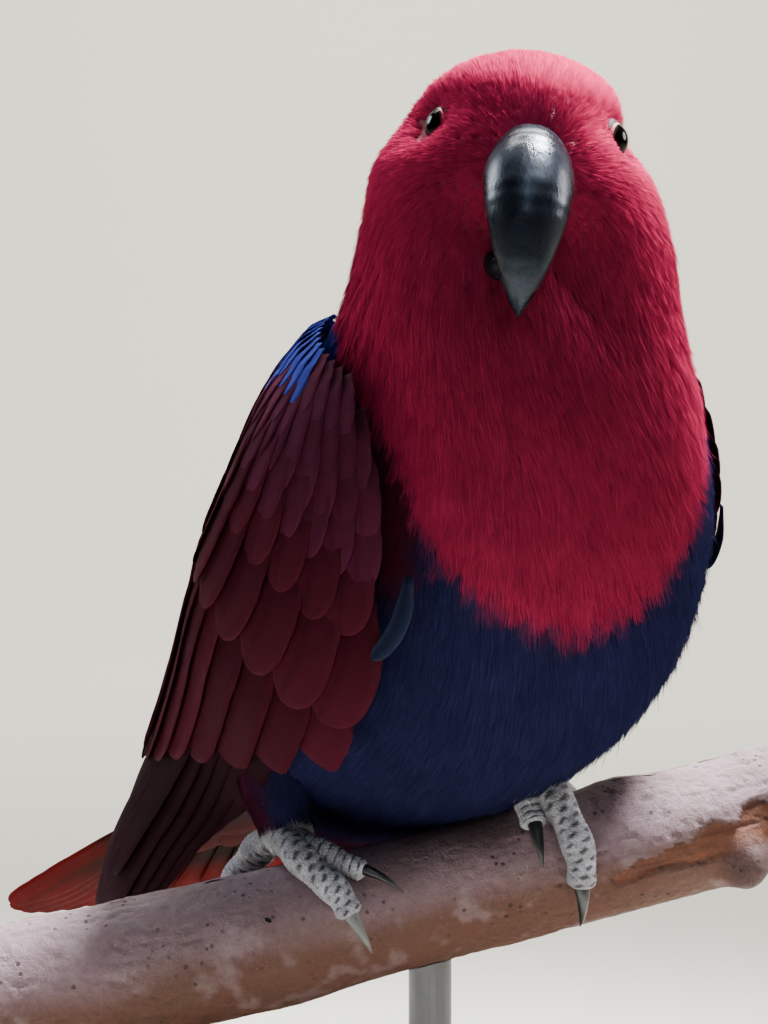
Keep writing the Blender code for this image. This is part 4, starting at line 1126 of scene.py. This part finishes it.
def strands(name, places, ways, ups, spec, t, angle, colour, material, draw):
    """Fine tapered strands, a fan of them for each small feather, as one joined mesh."""
    half_width, count, thin, depth = spec
    feathers, steps = places.shape[:2]
    across = (np.arange(count) + 0.5) / count * 2 - 1
    across = across + draw.uniform(-0.5, 0.5, (feathers, count)) * 2 / count
    reach = 1 - 0.30 * across**2 + draw.uniform(-0.16, 0.06, (feathers, count))
    stops = STRAND_STOPS[None, None] * reach[..., None]
    where = np.clip(stops, 0, 1) * (steps - 1)
    low = np.clip(where.astype(int), 0, steps - 2)
    part = (where - low)[..., None]
    row = np.arange(feathers)[:, None, None]

    def read(table):
        return table[row, low] * (1 - part) + table[row, low + 1] * part

    centre, way, up = read(places), unit(read(ways)), unit(read(ups))
    side = np.cross(way, up)
    spread = 0.30 + 0.70 * smooth(0.0, 0.55, stops)
    offset = across[..., None] * spread * half_width
    offset = offset + draw.normal(0, 0.10, (feathers, count, 1)) * stops * half_width
    rise = depth[:, None, None] * (0.12 + 0.88 * np.clip(stops, 0, 1) ** 0.75)
    uneven = draw.normal(0, 0.10, (feathers, count, 1)) * rise
    rise = rise * (1 - 0.12 * across[..., None] ** 2) + uneven
    wild = draw.random((feathers, count, 1)) < 0.01
    rise = rise * (1 + wild * 0.5 * stops)
    centre = centre + side * offset[..., None] + up * rise[..., None]
    twist = draw.normal(0, 0.28, (feathers, count, 1, 1))
    flat = side * np.cos(twist) + up * np.sin(twist)
    width = thin * STRAND_WIDTHS * draw.uniform(0.75, 1.25, (feathers, count, 1))
    centre = clear_of_perch(clear_of_eyes(centre), 0.15 * MM)
    body = centre[:, :, :3]
    wide = flat[:, :, :3] * width[..., None]
    points = np.stack([body - wide, body + wide], 3).reshape(feathers, count, 6, 3)
    points = np.concatenate([points, centre[:, :, 3:]], 2).reshape(-1, 3)
    total = feathers * count
    base = (np.arange(total) * 7)[:, None]
    quads = np.concatenate([base + (0, 1, 3, 2), base + (2, 3, 5, 4)])
    tips = base + (4, 5, 6)
    shade = draw.lognormal(0, 0.07, (feathers, 1)) * draw.lognormal(0, 0.13, (feathers, count))
    # The tints carry the painted shade, darker towards each strand's root
    tints = colour[:, None, None] * shade[..., None, None] * STRAND_PAINTED_SHADE[:, None]
    u = ((angle % 360) / 360)[:, None, None] + (across * PATCH_SPREAD)[..., None] + PATCH_ACROSS
    v = (t / BODY.last)[:, None, None] + PATCH_ALONG
    v = v + np.zeros((feathers, count, 1))
    spots = np.clip(np.stack([u, v], -1), 0, 1).reshape(-1, 2)
    tints = np.clip(tints, 0, 1).reshape(-1, 3)
    coat = joined(name, points, [quads, tips], tints, {"OFBake": spots}, material)
    tilt = draw.normal(0, 0.16, (feathers, count, 1, 1)) + across[..., None, None] * 0.12
    lie = unit(up + side * tilt + way * 0.10)
    lie = np.concatenate([np.repeat(lie[:, :, :3], 2, axis=2), lie[:, :, 3:]], 2)
    paint(coat.data, "Lie", lie.reshape(-1, 3), "FLOAT_VECTOR")
    return coat


# For each piece of coat: rings, angles, cell in square mm, feather length and half width in mm,
# strands to a feather, a strand's half width in mm
COAT = {
    "coat_face_right": ((0.0, 5.25), (0, 78), 1.12, (3.0, 6.0), 0.95, 17, 0.055),
    "coat_face_left": ((0.0, 5.25), (-78, 0), 1.12, (3.0, 6.0), 0.95, 17, 0.055),
    "coat_crown": ((0.0, 5.25), (78, 282), 2.3, (6.0, 7.5), 1.4, 17, 0.085),
    "coat_throat_right": ((5.1, 7.5), (0, 95), 2.9, (7.0, 8.5), 1.6, 20, 0.09),
    "coat_throat_left": ((5.1, 7.5), (-95, 0), 2.9, (7.0, 8.5), 1.6, 20, 0.09),
    "coat_nape": ((5.1, 8.1), (95, 265), 3.4, (8.0, 10.0), 2.1, 20, 0.12),
    "coat_breast": ((7.4, 9.3), (-88, 76), 4.0, (8.5, 10.0), 2.1, 20, 0.12),
    "coat_belly": ((9.2, 12.0), (-75, 75), 5.6, (9.5, 11.0), 2.5, 22, 0.14),
    "coat_back": ((8.0, 13.2), (148, 212), 4.4, (9.5, 11.0), 2.6, 22, 0.15),
    "coat_vent": ((11.9, 13.9), (-140, 140), 5.4, (9.0, 11.0), 2.6, 18, 0.16),
}


# The bill's middle in the head's frame, and the distances from it over which the face's
# feathers grow to their full length, in mm
FACE_MIDDLE = np.array((24.0, 0.5, -12.0)) * MM
FACE_GROWTH = (12, 34)
COAT_STEPS = 5


def in_view(t, angle):
    """The share of the coat that is kept: little of it under the folded wings."""
    return 1 - 0.92 * under_wing(t, angle)


def make_coat(material):
    """Every piece of coat in the table, in the colours of the markings under its tips."""
    for number, (name, spec) in enumerate(COAT.items()):
        rings, angles, cell, length, half_width, count, thin = spec
        draw = seeded(100 + number)
        t, angle = sow(rings, angles, cell * MM * MM, draw, in_view)
        roots = skin_point(t, angle)
        kept = ~near_eye(roots)
        t, angle, roots = t[kept], angle[kept], roots[kept]
        share = smooth(rings[0], rings[1], t)
        lengths = (length[0] + (length[1] - length[0]) * share) * MM
        if name.startswith("coat_face"):
            far = np.linalg.norm(roots - apply(HEAD, FACE_MIDDLE), axis=-1) / MM
            lengths = (length[0] + (length[1] - length[0]) * smooth(*FACE_GROWTH, far)) * MM
        ways = lie_of_coat(t, angle)
        ways = unit(ways + draw.normal(0, 0.09, ways.shape))
        lengths = lengths * draw.uniform(0.85, 1.12, len(lengths))
        places, ways, ups = follow(roots, ways, lengths, COAT_STEPS)
        depth = coat_depth(t, centred(angle)) * draw.uniform(0.85, 1.1, len(t))
        back = unit(BODY.along(t, angle))
        ring = np.linalg.norm(BODY.along(t, angle), axis=-1)
        ahead = (ways[:, 0] * back).sum(-1) * lengths * 0.7 / ring
        seen = t + ahead + draw.normal(0, 0.035, len(t))
        colour = marking(seen, angle + draw.normal(0, 1.0, len(t)))
        spec = (half_width * MM, count, thin * MM, depth)
        coat = strands(name, places, ways, ups, spec, t, angle, colour, material, draw)
        done(coat, "red_plumage" if t.mean() < 8 else "blue_plumage")


# The feathers round a shank: how many, where they are rooted over the ankle, their length, half
# width and depth, and a strand's half width, in mm
THIGH_FEATHERS, THIGH_STRANDS = 300, 18
THIGH_HEIGHTS = (9.5, 20.0)
THIGH_REACH, THIGH_HALF_WIDTH, THIGH_DEPTH, THIGH_THIN = 7.5, 1.7, 1.2, 0.10


def make_thighs(material):
    """Small feathers that hang from the belly over the top of each shank."""
    for number, side in enumerate(ANKLES):
        draw = seeded(150 + number)
        s, over = ANKLES[side]
        low = on_perch(s * MM, over, 3.6 * MM)
        rise = unit(OVER * 0.9 - FRONT * 0.25)
        first = unit(np.cross(rise, ALONG))
        second = np.cross(rise, first)
        turn = draw.uniform(0, 2 * math.pi, THIGH_FEATHERS)
        height = draw.uniform(*THIGH_HEIGHTS, THIGH_FEATHERS)
        out = first * np.cos(turn)[:, None] + second * np.sin(turn)[:, None]
        down = np.linspace(0, 1, COAT_STEPS)
        level = height[:, None] - down * THIGH_REACH
        radius = 5.2 + 0.22 * np.abs(level - 5.0)
        places = low + (rise * level[..., None] + out[:, None] * radius[..., None]) * MM
        ways = unit(np.gradient(places, axis=1))
        ups = np.repeat(out[:, None], COAT_STEPS, axis=1)
        ups = unit(ups - ways * (ups * ways).sum(-1, keepdims=True))
        depth = np.full(THIGH_FEATHERS, THIGH_DEPTH * MM)
        colour = mix(NAVY, MAROON, smooth(0.2, 0.9, -(out @ ALONG)) * 0.8) * 0.9
        spec = (THIGH_HALF_WIDTH * MM, THIGH_STRANDS, THIGH_THIN * MM, depth)
        t, angle = 10.2 + 0.03 * height, np.degrees(turn) * 0.1 + (35 if side == "right" else -60)
        coat = strands(f"coat_thigh_{side}", places, ways, ups, spec, t, angle, colour, material, draw)
        done(coat, "blue_plumage")


# Wings

WING_EDGES = (
    (0.0, 88, 128),
    (0.4, 62, 140),
    (0.8, 55, 148),
    (1.2, 48, 155),
    (2.0, 50, 162),
    (3.0, 52, 167),
    (4.0, 60, 170),
    (5.0, 72, 170),
    (6.0, 82, 165),
)
WING_SETBACK = {"right": 0.0, "left": 28.0}
VANE_TILT = 6.0
# Tiers: feathers, root ring, root angles, tip rings, tip angles, half width, lifts in mm, tip
TIERS = {
    "primaries": (6, 3.2, (62, 88), (6.1, 8.7, 6.9), (76, 101), 9.5, (-4.2, -2.8), 0.14),
    "secondaries": (10, 2.2, (57, 135), (2.95, 5.0, 6.0), (53, 141), 8.6, (-3.0, -1.5), 0.20),
    "tertials": (4, 1.8, (134, 160), (5.3, 5.1, 4.8), (142, 169), 9.5, (-2.4, -0.7), 0.24),
    "greater_coverts": (10, 1.35, (56, 148), (2.5, 2.95, 3.3), (54, 153), 7.6, (-2.4, -0.7), 0.34),
    "median_coverts": (11, 0.85, (62, 148), (1.7, 2.05, 2.25), (58, 153), 6.6, (-2.2, -0.3), 0.42),
    "lesser_coverts_low": (13, 0.55, (62, 146), (1.25, 1.55, 1.65), (56, 150), 5.2, (-2.2, 0.0), 0.48),
    "lesser_coverts_mid": (14, 0.30, (64, 142), (0.92, 1.2, 1.25), (57, 147), 4.5, (-2.0, 0.2), 0.5),
    "lesser_coverts_high": (14, 0.05, (68, 136), (0.62, 0.88, 0.92), (60, 143), 4.0, (-1.8, 0.3), 0.5),
    "shoulder": (12, -0.15, (76, 130), (0.35, 0.55, 0.6), (68, 136), 3.6, (-1.6, 0.4), 0.5),
}
ALULA = ((0.95, 45.5), (1.68, 49.5), 2.0, (0.0, 0.6))


def three_way(values, x):
    """A value on the parabola through three values at 0, one half and 1."""
    first, middle, last = values
    return first * (1 - x) * (1 - 2 * x) + middle * 4 * x * (1 - x) + last * x * (2 * x - 1)


def wing_angle(side, angle):
    back = angle + WING_SETBACK[side] * np.maximum(0.0, (120 - angle) / 80)
    return back if side == "right" else -back


class Vanes:
    """Collects thin closed vanes and joins them as one mesh."""

    def __init__(self, rows, columns):
        self.rows, self.columns = rows, columns
        self.points, self.tints, self.spots = [], [], []

    def stops(self):
        """Places along a vane, closer together towards its rounded tip."""
        x = np.linspace(0, 1, self.rows)
        return 1 - (1 - x) ** 1.5

    def add(self, centres, sides, ups, half_width, tip, colour, draw, camber=0.06, thick=0.00022):
        """A vane over its line of centres, from a narrow root to a rounded tip."""
        x = self.stops()[:, None]
        v = np.linspace(-1, 1, self.columns)[None, :]
        root = 0.5 + 0.5 * smooth(0.0, 0.35, x)
        end = np.sqrt(np.clip(1 - ((x - 1 + tip) / tip).clip(0, 1) ** 2, 0.0, 1.0))
        lean = 0.16 * half_width
        waver = [noise.noise(Vector((k * 0.9, draw.random() * 9, 0))) for k in range(self.rows)]
        nick = 1 + 0.05 * np.array(waver)[:, None] * np.abs(v) ** 3
        wide = half_width * root * np.maximum(end, 0.04) * nick
        offset = v * wide + lean * (1 - v**2) * end
        bend = -camber * half_width * (v**2) * end
        shaft = 0.14 * MM * np.exp(-((v / 0.09) ** 2)) * (1 - 0.7 * x)
        curl = -0.35 * MM * smooth(0.85, 1.0, x)
        rise = bend + shaft + curl
        top = centres[:, None] + sides[:, None] * offset[..., None] + ups[:, None] * rise[..., None]
        low = top - ups[:, None] * thick
        length = np.linalg.norm(centres[-1] - centres[0])
        self.points.append(np.stack([top, low]))
        self.tints.append(np.stack([colour(x, v), colour(x, v)]))
        spot = np.stack(np.broadcast_arrays(offset / 0.01, x * length / 0.01), -1)
        self.spots.append(np.stack([spot, spot]))

    def make(self, name, material):
        rows, columns, count = self.rows, self.columns, len(self.points)
        layer = rows * columns
        grid = np.arange(layer).reshape(rows, columns)
        a, b, c, d = grid[:-1, :-1], grid[:-1, 1:], grid[1:, 1:], grid[1:, :-1]
        top = np.stack([a, b, c, d], -1).reshape(-1, 4)
        low = top[:, ::-1] + layer
        rim = np.concatenate([grid[:, 0], grid[-1, 1:], grid[-2::-1, -1], grid[0, -2:0:-1]])
        turned = np.roll(rim, -1)
        edge = np.stack([rim, turned, turned + layer, rim + layer], -1)
        one = np.concatenate([top, low, edge])
        faces = (one[None] + (np.arange(count) * 2 * layer)[:, None, None]).reshape(-1, 4)
        points = np.array(self.points).reshape(-1, 3)
        tints = np.array(self.tints).reshape(-1, 3)
        spots = np.array(self.spots).reshape(-1, 2)
        across = math.ceil(math.sqrt(count * 2))
        inside = (0.06, 0.94)
        u, v = np.linspace(*inside, rows), np.linspace(*inside, columns)
        u, v = np.meshgrid(u, v, indexing="ij")
        cell = np.arange(count * 2)
        column, row = cell % across, cell // across
        island = np.stack([u[None] + column[:, None, None], v[None] + row[:, None, None]], -1) / across
        maps = {"OFBake": island.reshape(-1, 2), "Vane": spots}
        return joined(name, points, [faces], tints, maps, material)


def wing_line(side, root, tip, lifts, x):
    """Centres, sideways and outward directions of a feather that follows the wing's form."""
    t = root[0] + (tip[0] - root[0]) * x
    bow = np.sin(math.pi * x) * 1.5
    angle = wing_angle(side, root[1] + (tip[1] - root[1]) * x**1.2 - bow)
    lift = (lifts[0] + (lifts[1] - lifts[0]) * np.minimum(x / 0.4, 1.0)) * MM
    ups = WING.normal(np.maximum(t, 0.02), angle)
    centres = WING.point(t, angle) + ups * lift[:, None]
    along = unit(np.gradient(centres, axis=0))
    across = unit(np.cross(along, ups))
    lean = math.radians(VANE_TILT if side == "right" else -VANE_TILT)
    across = across * math.cos(lean) - ups * math.sin(lean)
    ups = unit(np.cross(across, along))
    return centres, across, ups


def wing_tint(tier, place, draw):
    """The colours of one wing feather: dark maroon webs with paler edges, blue at the shoulder, and
    painted shade towards the covered root.
    """
    dull = draw.uniform(0.8, 1.2)
    base = np.array(MAROON) * dull
    if tier in ("primaries",):
        base = np.array((0.018, 0.0040, 0.008)) * dull
    if tier.startswith("lesser") or tier == "shoulder":
        base = np.array((0.070, 0.011, 0.028)) * dull
    if (tier == "shoulder" and place > 0.35) or (tier == "lesser_coverts_high" and place > 0.62):
        base = np.array(ROYAL_BLUE) * 0.8 * dull
    elif tier.startswith("lesser") and place > 0.78:
        base = np.array((0.045, 0.030, 0.085)) * dull

    def colour(x, v):
        x, v = np.broadcast_arrays(x, v)
        edge = smooth(0.72, 1.0, np.maximum(np.abs(v), (x - 0.72) / 0.28))
        # Painted shade: each feather darkens towards its root, where the feathers above it cover it
        made = mix(base * 0.66, base, smooth(0.2, 0.9, x))
        made = mix(made, base * 1.35 + 0.002, edge * 0.35)
        shaft = np.exp(-((v / 0.06) ** 2))
        return mix(made, base * 0.45, shaft * 0.5)

    return colour


def make_wing(side, material):
    vanes = Vanes(20, 9)
    draw = seeded(7 if side == "right" else 8)
    for tier, spec in TIERS.items():
        count, root_t, root_angles, tip_ts, tip_angles, width, lifts, tip_share = spec
        for i in range(count):
            v = i / (count - 1)
            root = (root_t, root_angles[0] + (root_angles[1] - root_angles[0]) * v)
            tip = (
                three_way(tip_ts, v) + draw.uniform(-0.03, 0.03),
                tip_angles[0] + (tip_angles[1] - tip_angles[0]) * v**1.1 + draw.uniform(-0.6, 0.6),
            )
            line = wing_line(side, root, tip, lifts, vanes.stops())
            vanes.add(*line, width * MM, tip_share, wing_tint(tier, v, draw), draw)
    root, tip, width, lifts = ALULA
    line = wing_line(side, root, tip, lifts, vanes.stops())

    def alula_colour(x, v):
        x, v = np.broadcast_arrays(x, v)
        return mix(*ALULA_COLOURS, np.abs(v) ** 2)

    vanes.add(*line, width * MM, 0.3, alula_colour, draw)
    wing = vanes.make(f"wing_{side}_feathers", material)
    return done(wing, "maroon_plumage", f"wing_{side}")


# Tail

TAIL_LENGTH = 109.0 * MM
TAIL_FEATHERS = 12
TAIL_SPREAD = 3.2
TAIL_STEP = 0.85 * MM
TAIL_ROOT_SPACING = 1.7 * MM
TAIL_HALF_WIDTH = 10.5 * MM
TAIL_DROOP = 4.0 * MM
TAIL_RED = (0.085, 0.0004, 0.0008)
TAIL_DARK = (0.012, 0.003, 0.002)
# Coverts over and under the tail's root: feathers, length, height, spread, droop in mm and degrees
TAIL_COVERTS = (
    (5, 48.0, 2.8, 2.0, 1.0),
    (4, 34.0, 3.6, 2.2, 0.8),
    (5, 56.0, -6.8, 1.7, 1.5),
    (4, 42.0, -7.4, 1.9, 1.2),
)
COVERT_SPACING = 4.4 * MM
COVERT_HALF_WIDTH = 8.0 * MM


def tail_line(place, root, length, droop, stops):
    turn = math.radians(place * TAIL_SPREAD)
    along = np.array((math.cos(turn), math.sin(turn), 0.0))
    sag = np.array((0, 0, -1.0)) * droop * (stops**2)[:, None]
    centres = apply(TAIL, root + along * (length * stops)[:, None] + sag)
    side = TAIL[:3, :3] @ np.array((-math.sin(turn), math.cos(turn), 0.0))
    ways = unit(np.gradient(centres, axis=0))
    sides = np.tile(side, (len(stops), 1))
    ups = unit(np.cross(ways, sides))
    return centres, sides, ups


def make_tail(material):
    """Twelve tail feathers stepped down from the middle, with coverts above and below."""
    vanes = Vanes(26, 11)
    draw = seeded(21)
    outermost = (TAIL_FEATHERS - 1) / 2
    for i in range(TAIL_FEATHERS):
        place = i - outermost
        root = np.array((2.0 * MM, place * TAIL_ROOT_SPACING, -TAIL_STEP * (abs(place) - 0.5)))
        length = TAIL_LENGTH * (1.06 - 0.20 * (abs(place) / outermost) ** 2.5)
        line = tail_line(place, root, length, TAIL_DROOP, vanes.stops())
        dull = draw.uniform(0.85, 1.15)

        def colour(x, v, dull=dull, place=place):
            x, v = np.broadcast_arrays(x, v)
            outer = v * np.sign(place)
            side = smooth(-0.2, 0.5, outer) * smooth(0.42, 0.6, x)
            side = side * (0.9 if abs(place) > 4 else 0.0)
            red = np.maximum(smooth(0.62, 0.86, x), side)
            shaft = np.exp(-((v / 0.06) ** 2))
            made = mix(TAIL_DARK, TAIL_RED, red) * dull
            return mix(made, (0.02, 0.006, 0.005), shaft * 0.5)

        vanes.add(*line, TAIL_HALF_WIDTH, 0.16, colour, draw, camber=0.03)
    for count, length, height, spread, droop in TAIL_COVERTS:
        for i in range(count):
            place = i - (count - 1) / 2
            root = np.array((-3.0 * MM, place * COVERT_SPACING, height * MM - 0.3 * MM * abs(place)))
            reach = (length - 4.0 * abs(place)) * MM
            line = tail_line(place * spread, root, reach, droop * MM, vanes.stops())
            low = height < 0
            dull = draw.uniform(0.85, 1.15)

            def colour(x, v, low=low, dull=dull):
                x, v = np.broadcast_arrays(x, v)
                tip = smooth(0.55, 1.0, x)
                # Dark maroon, partly painted shade: the coverts are darkened for the shade under the
                # tail and wings
                made = mix(np.array(MAROON) * 0.5, (0.06, 0.002, 0.003), tip)
                return made * dull

            vanes.add(*line, COVERT_HALF_WIDTH, 0.3, colour, draw)
    tail = vanes.make("tail_feathers", material)
    return done(tail, "tail_plumage", "tail")


# The head's hard parts


def make_upper_bill(material):
    def place(u, v):
        x = v
        turn = np.radians(BILL_START + (BILL_END - BILL_START) * x)
        out = np.stack([np.cos(turn), 0 * turn, np.sin(turn)], -1)
        depth = BILL_DEPTH * np.clip(1 - x**1.6, 0, 1) ** 0.75 + 1.0 * MM
        width = BILL_HALF_WIDTH * (0.80 + 0.75 * x - 0.55 * x * x) * np.clip(1 - x**2.6, 0, 1) ** 0.8
        half_width = width + 0.9 * MM * (1 - x**8)
        middle, half = BILL_ARC_RADIUS - depth / 2, depth / 2
        angle = u * 2 * math.pi
        high = np.cos(angle)
        wide = np.sign(np.sin(angle)) * np.abs(np.sin(angle)) ** 0.85
        lateral = half_width * wide * (1 - 0.16 * high)
        lines = 0.05 * MM * np.sin(x * 70 + 2 * np.sin(x * 23))
        lines = lines * smooth(0.0, 0.2, x) * smooth(1.0, 0.6, x)
        ends = np.minimum(x / 0.01, 1.0) * np.minimum((1 - x) / 0.004, 1.0)
        reach = middle + (half * high + lines) * ends
        points = BILL_ARC_CENTRE + out * reach[:, None]
        points[:, 1] += lateral * ends
        return apply(HEAD, points)

    bill = sheet("bill_upper_horn", (72, 120), place, material)
    return done(bill, "horn", "bill_upper")


def make_lower_bill(material):
    def place(u, v):
        x = np.clip((v - 0.02) / 0.96, 0, 1)
        centre = np.stack([11.0 + 18.5 * x, 0 * x, -28.5 - 4.5 * x + 3.0 * x * x], -1) * MM
        wide = (8.2 - 1.3 * x * x) * MM * (1 - 0.5 * x**6)
        tall = (7.0 - 3.0 * x) * MM * (1 - 0.5 * x**6)
        angle = u * 2 * math.pi
        share = np.clip(np.minimum(v, 1 - v) / 0.02, 0, 1) ** 0.5
        centre[:, 1] += wide * np.cos(angle) * share
        centre[:, 2] += tall * np.sin(angle) * share
        return apply(HEAD, centre)

    bill = sheet("bill_lower_horn", (48, 60), place, material)
    return done(bill, "horn", "bill_lower")


def eye_axes(side):
    """The eye's centre, its line of sight, and the directions across and over it."""
    centre, look = eye_place(side)
    across = unit(np.cross((0, 0, 1.0), look))
    return centre, look, across, np.cross(look, across)


def make_eye(side, material):
    centre, look, across, over = eye_axes(side)

    def place(u, v):
        away, turn = v * math.pi, u * 2 * math.pi
        out = look * np.cos(away)[:, None]
        out = out + across * (np.sin(away) * np.cos(turn))[:, None]
        out = out + over * (np.sin(away) * np.sin(turn))[:, None]
        bulge = 1 + 0.04 * smooth(50.0, 20.0, np.degrees(away))
        return centre + out * (EYE_RADIUS * bulge)[:, None]

    def gaze(u, v):
        return v * 180

    eye = sheet(f"eyeball_{side}", (64, 64), place, material, numbers={"Gaze": gaze})
    return done(eye, "eye", f"eye_{side}")


# The lids' section: (distance from the line of sight, height along it from the eyeball's centre)
LID_SECTION = (
    (3.75, 1.8), (4.25, 2.2), (4.4, 2.45), (4.55, 2.5), (4.75, 2.3), (5.1, 1.7), (5.6, 0.9),
    (6.1, 0.0), (6.5, -1.0), (6.2, -1.8), (4.9, -1.0), (3.8, 0.8), (3.75, 1.8),
)


def make_lids(side, material):
    """The ring of bare skin round the eye, with a beaded rim and fine folds."""
    centre, look, across, over = eye_axes(side)
    section = np.array(LID_SECTION, float) * MM

    def place(u, v):
        turn = u * 2 * math.pi
        spot = curve(section, v * (len(section) - 1))
        beads = np.exp(-(((v - 0.30) / 0.05) ** 2)) * np.abs(np.sin(turn * 17)) * 0.22 * MM
        folds = np.exp(-(((v - 0.5) / 0.12) ** 2)) * np.sin(v * 150) * 0.05 * MM
        reach = spot[:, 0] + folds
        squeeze = 1 - 0.10 * np.abs(np.sin(turn)) ** 1.5
        rise = spot[:, 1] + beads
        points = centre + look * rise[:, None]
        points = points + across * (reach * np.cos(turn))[:, None]
        return points + over * (reach * squeeze * np.sin(turn))[:, None]

    def tint(u, v):
        # Painted shade: above the eye the ring is darkened nearly to black, for the shade under the brow
        below = smooth(0.15, -0.75, np.sin(u * 2 * math.pi))
        made = mix((0.05, 0.045, 0.05), (1.0, 1.0, 1.0), below)
        return made * (0.35 + 0.65 * smooth(0.1, 0.3, v))[:, None]

    lids = sheet(f"lids_{side}", (136, 60), place, material, tint)
    return done(lids, "foot_skin")


# The stage


FLOOR_SIZE, FLOOR_FRONT, FLOOR_BEND, BEND_RADIUS = 9.0, 3.0, 2.2, 1.2
SKY, SKY_STRENGTH = (0.92, 0.95, 1.0, 1.0), 0.05
STRIP_LENGTH = 0.7
# Soft lights: name, place, aim, size in metres, watts, colour and spread in degrees
LIGHTS = (
    ("key", (0.34, 0.14, 1.15), (0.01, -0.02, 0.17), 0.34, 4.2, (0.94, 0.97, 1.0), 32.0),
    ("window", (-0.95, 0.55, 0.80), (0.0, 0.0, 0.15), 0.5, 9.0, (0.84, 0.92, 1.0), 180.0),
    ("side", (0.95, 0.22, 0.55), (0.02, 0.0, 0.15), 0.45, 7.0, (1.0, 0.97, 0.95), 180.0),
    ("front", (-0.10, -1.30, 0.55), (0.0, 0.0, 0.15), 0.8, 0.5, (1.0, 1.0, 1.0), 180.0),
    ("strip", (0.03, -0.62, 0.75), (0.03, -0.05, 0.22), 0.06, 1.2, (0.70, 0.84, 1.0), 180.0),
    ("back", (0.0, 1.40, 2.60), (0.0, 3.40, 0.80), 2.5, 250.0, (1.0, 0.98, 0.92), 180.0),
)


def add_light(name, place, aim, size, power, colour, spread):
    data = bpy.data.lights.new(name, "AREA")
    data.shape = "ELLIPSE" if name == "strip" else "DISK"
    data.size, data.size_y = size, STRIP_LENGTH
    data.energy, data.color, data.spread = power, colour, math.radians(spread)
    lamp = bpy.data.objects.new(name, data)
    lamp.location = place
    way = Vector(aim) - Vector(place)
    lamp.rotation_euler = way.to_track_quat("-Z", "Y").to_euler()
    bpy.context.scene.collection.objects.link(lamp)


def make_stage(material):
    """A pale floor that bends up into a backdrop, soft lights and the photo's camera."""

    def place(u, v):
        run = v * FLOOR_SIZE - FLOOR_FRONT
        turn = np.clip((run - FLOOR_BEND) / BEND_RADIUS, 0, math.pi / 2)
        wall = np.maximum(run - FLOOR_BEND - BEND_RADIUS * math.pi / 2, 0)
        y = np.where(run < FLOOR_BEND, run, FLOOR_BEND + BEND_RADIUS * np.sin(turn))
        z = np.where(run < FLOOR_BEND, 0.0, BEND_RADIUS * (1 - np.cos(turn)) + wall)
        return np.stack([(u - 0.5) * FLOOR_SIZE, y, z], -1)

    floor = sheet("floor", (4, 90), place, material)
    if floor.data.polygons[0].normal.z < 0:
        floor.data.flip_normals()
    world = bpy.data.worlds.new("studio")
    bpy.context.scene.world = world
    world.use_nodes = True
    sky = world.node_tree.nodes["Background"]
    sky.inputs["Color"].default_value = SKY
    sky.inputs["Strength"].default_value = SKY_STRENGTH
    for light in LIGHTS:
        add_light(*light)
    data = bpy.data.cameras.new("camera")
    data.lens = CAMERA_LENS
    data.sensor_width = 36.0
    data.clip_start = 0.01
    camera = bpy.data.objects.new("camera", data)
    camera.location = CAMERA_PLACE
    camera.rotation_euler = (math.pi / 2, 0.0, 0.0)
    bpy.context.scene.collection.objects.link(camera)
    bpy.context.scene.camera = camera


def dress(node, material):
    """Gives a CAD node that stays in view its own detailed material."""
    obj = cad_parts[node]
    obj.data.materials.clear()
    obj.data.materials.append(material)


SKIN_TREE = skin_tree()
skin = make_skin(skin_look())
done(skin, "red_plumage", "head", "neck", "breast", "belly", "rump")
coat_material = coat_look()
make_coat(coat_material)
make_thighs(coat_material)
vane_material = vane_look()
for wing_side in ("right", "left"):
    make_wing(wing_side, vane_material)
make_tail(vane_material)
horn = horn_look()
make_upper_bill(horn)
make_lower_bill(horn)
eye_material = eye_look()
lid_material = bare_skin_look("lid_skin", *LID_SKIN, 2600.0)
for eye_side in ("right", "left"):
    make_eye(eye_side, eye_material)
    make_lids(eye_side, lid_material)
make_feet(bare_skin_look("foot_scales", *FOOT_SKIN, 1500.0), claw_look())
done(make_perch(bark_look()), "bark", "perch")
dress("stand_base", stand_wood_look())
dress("stand_rod", brushed_metal_look())
make_stage(stage_look())
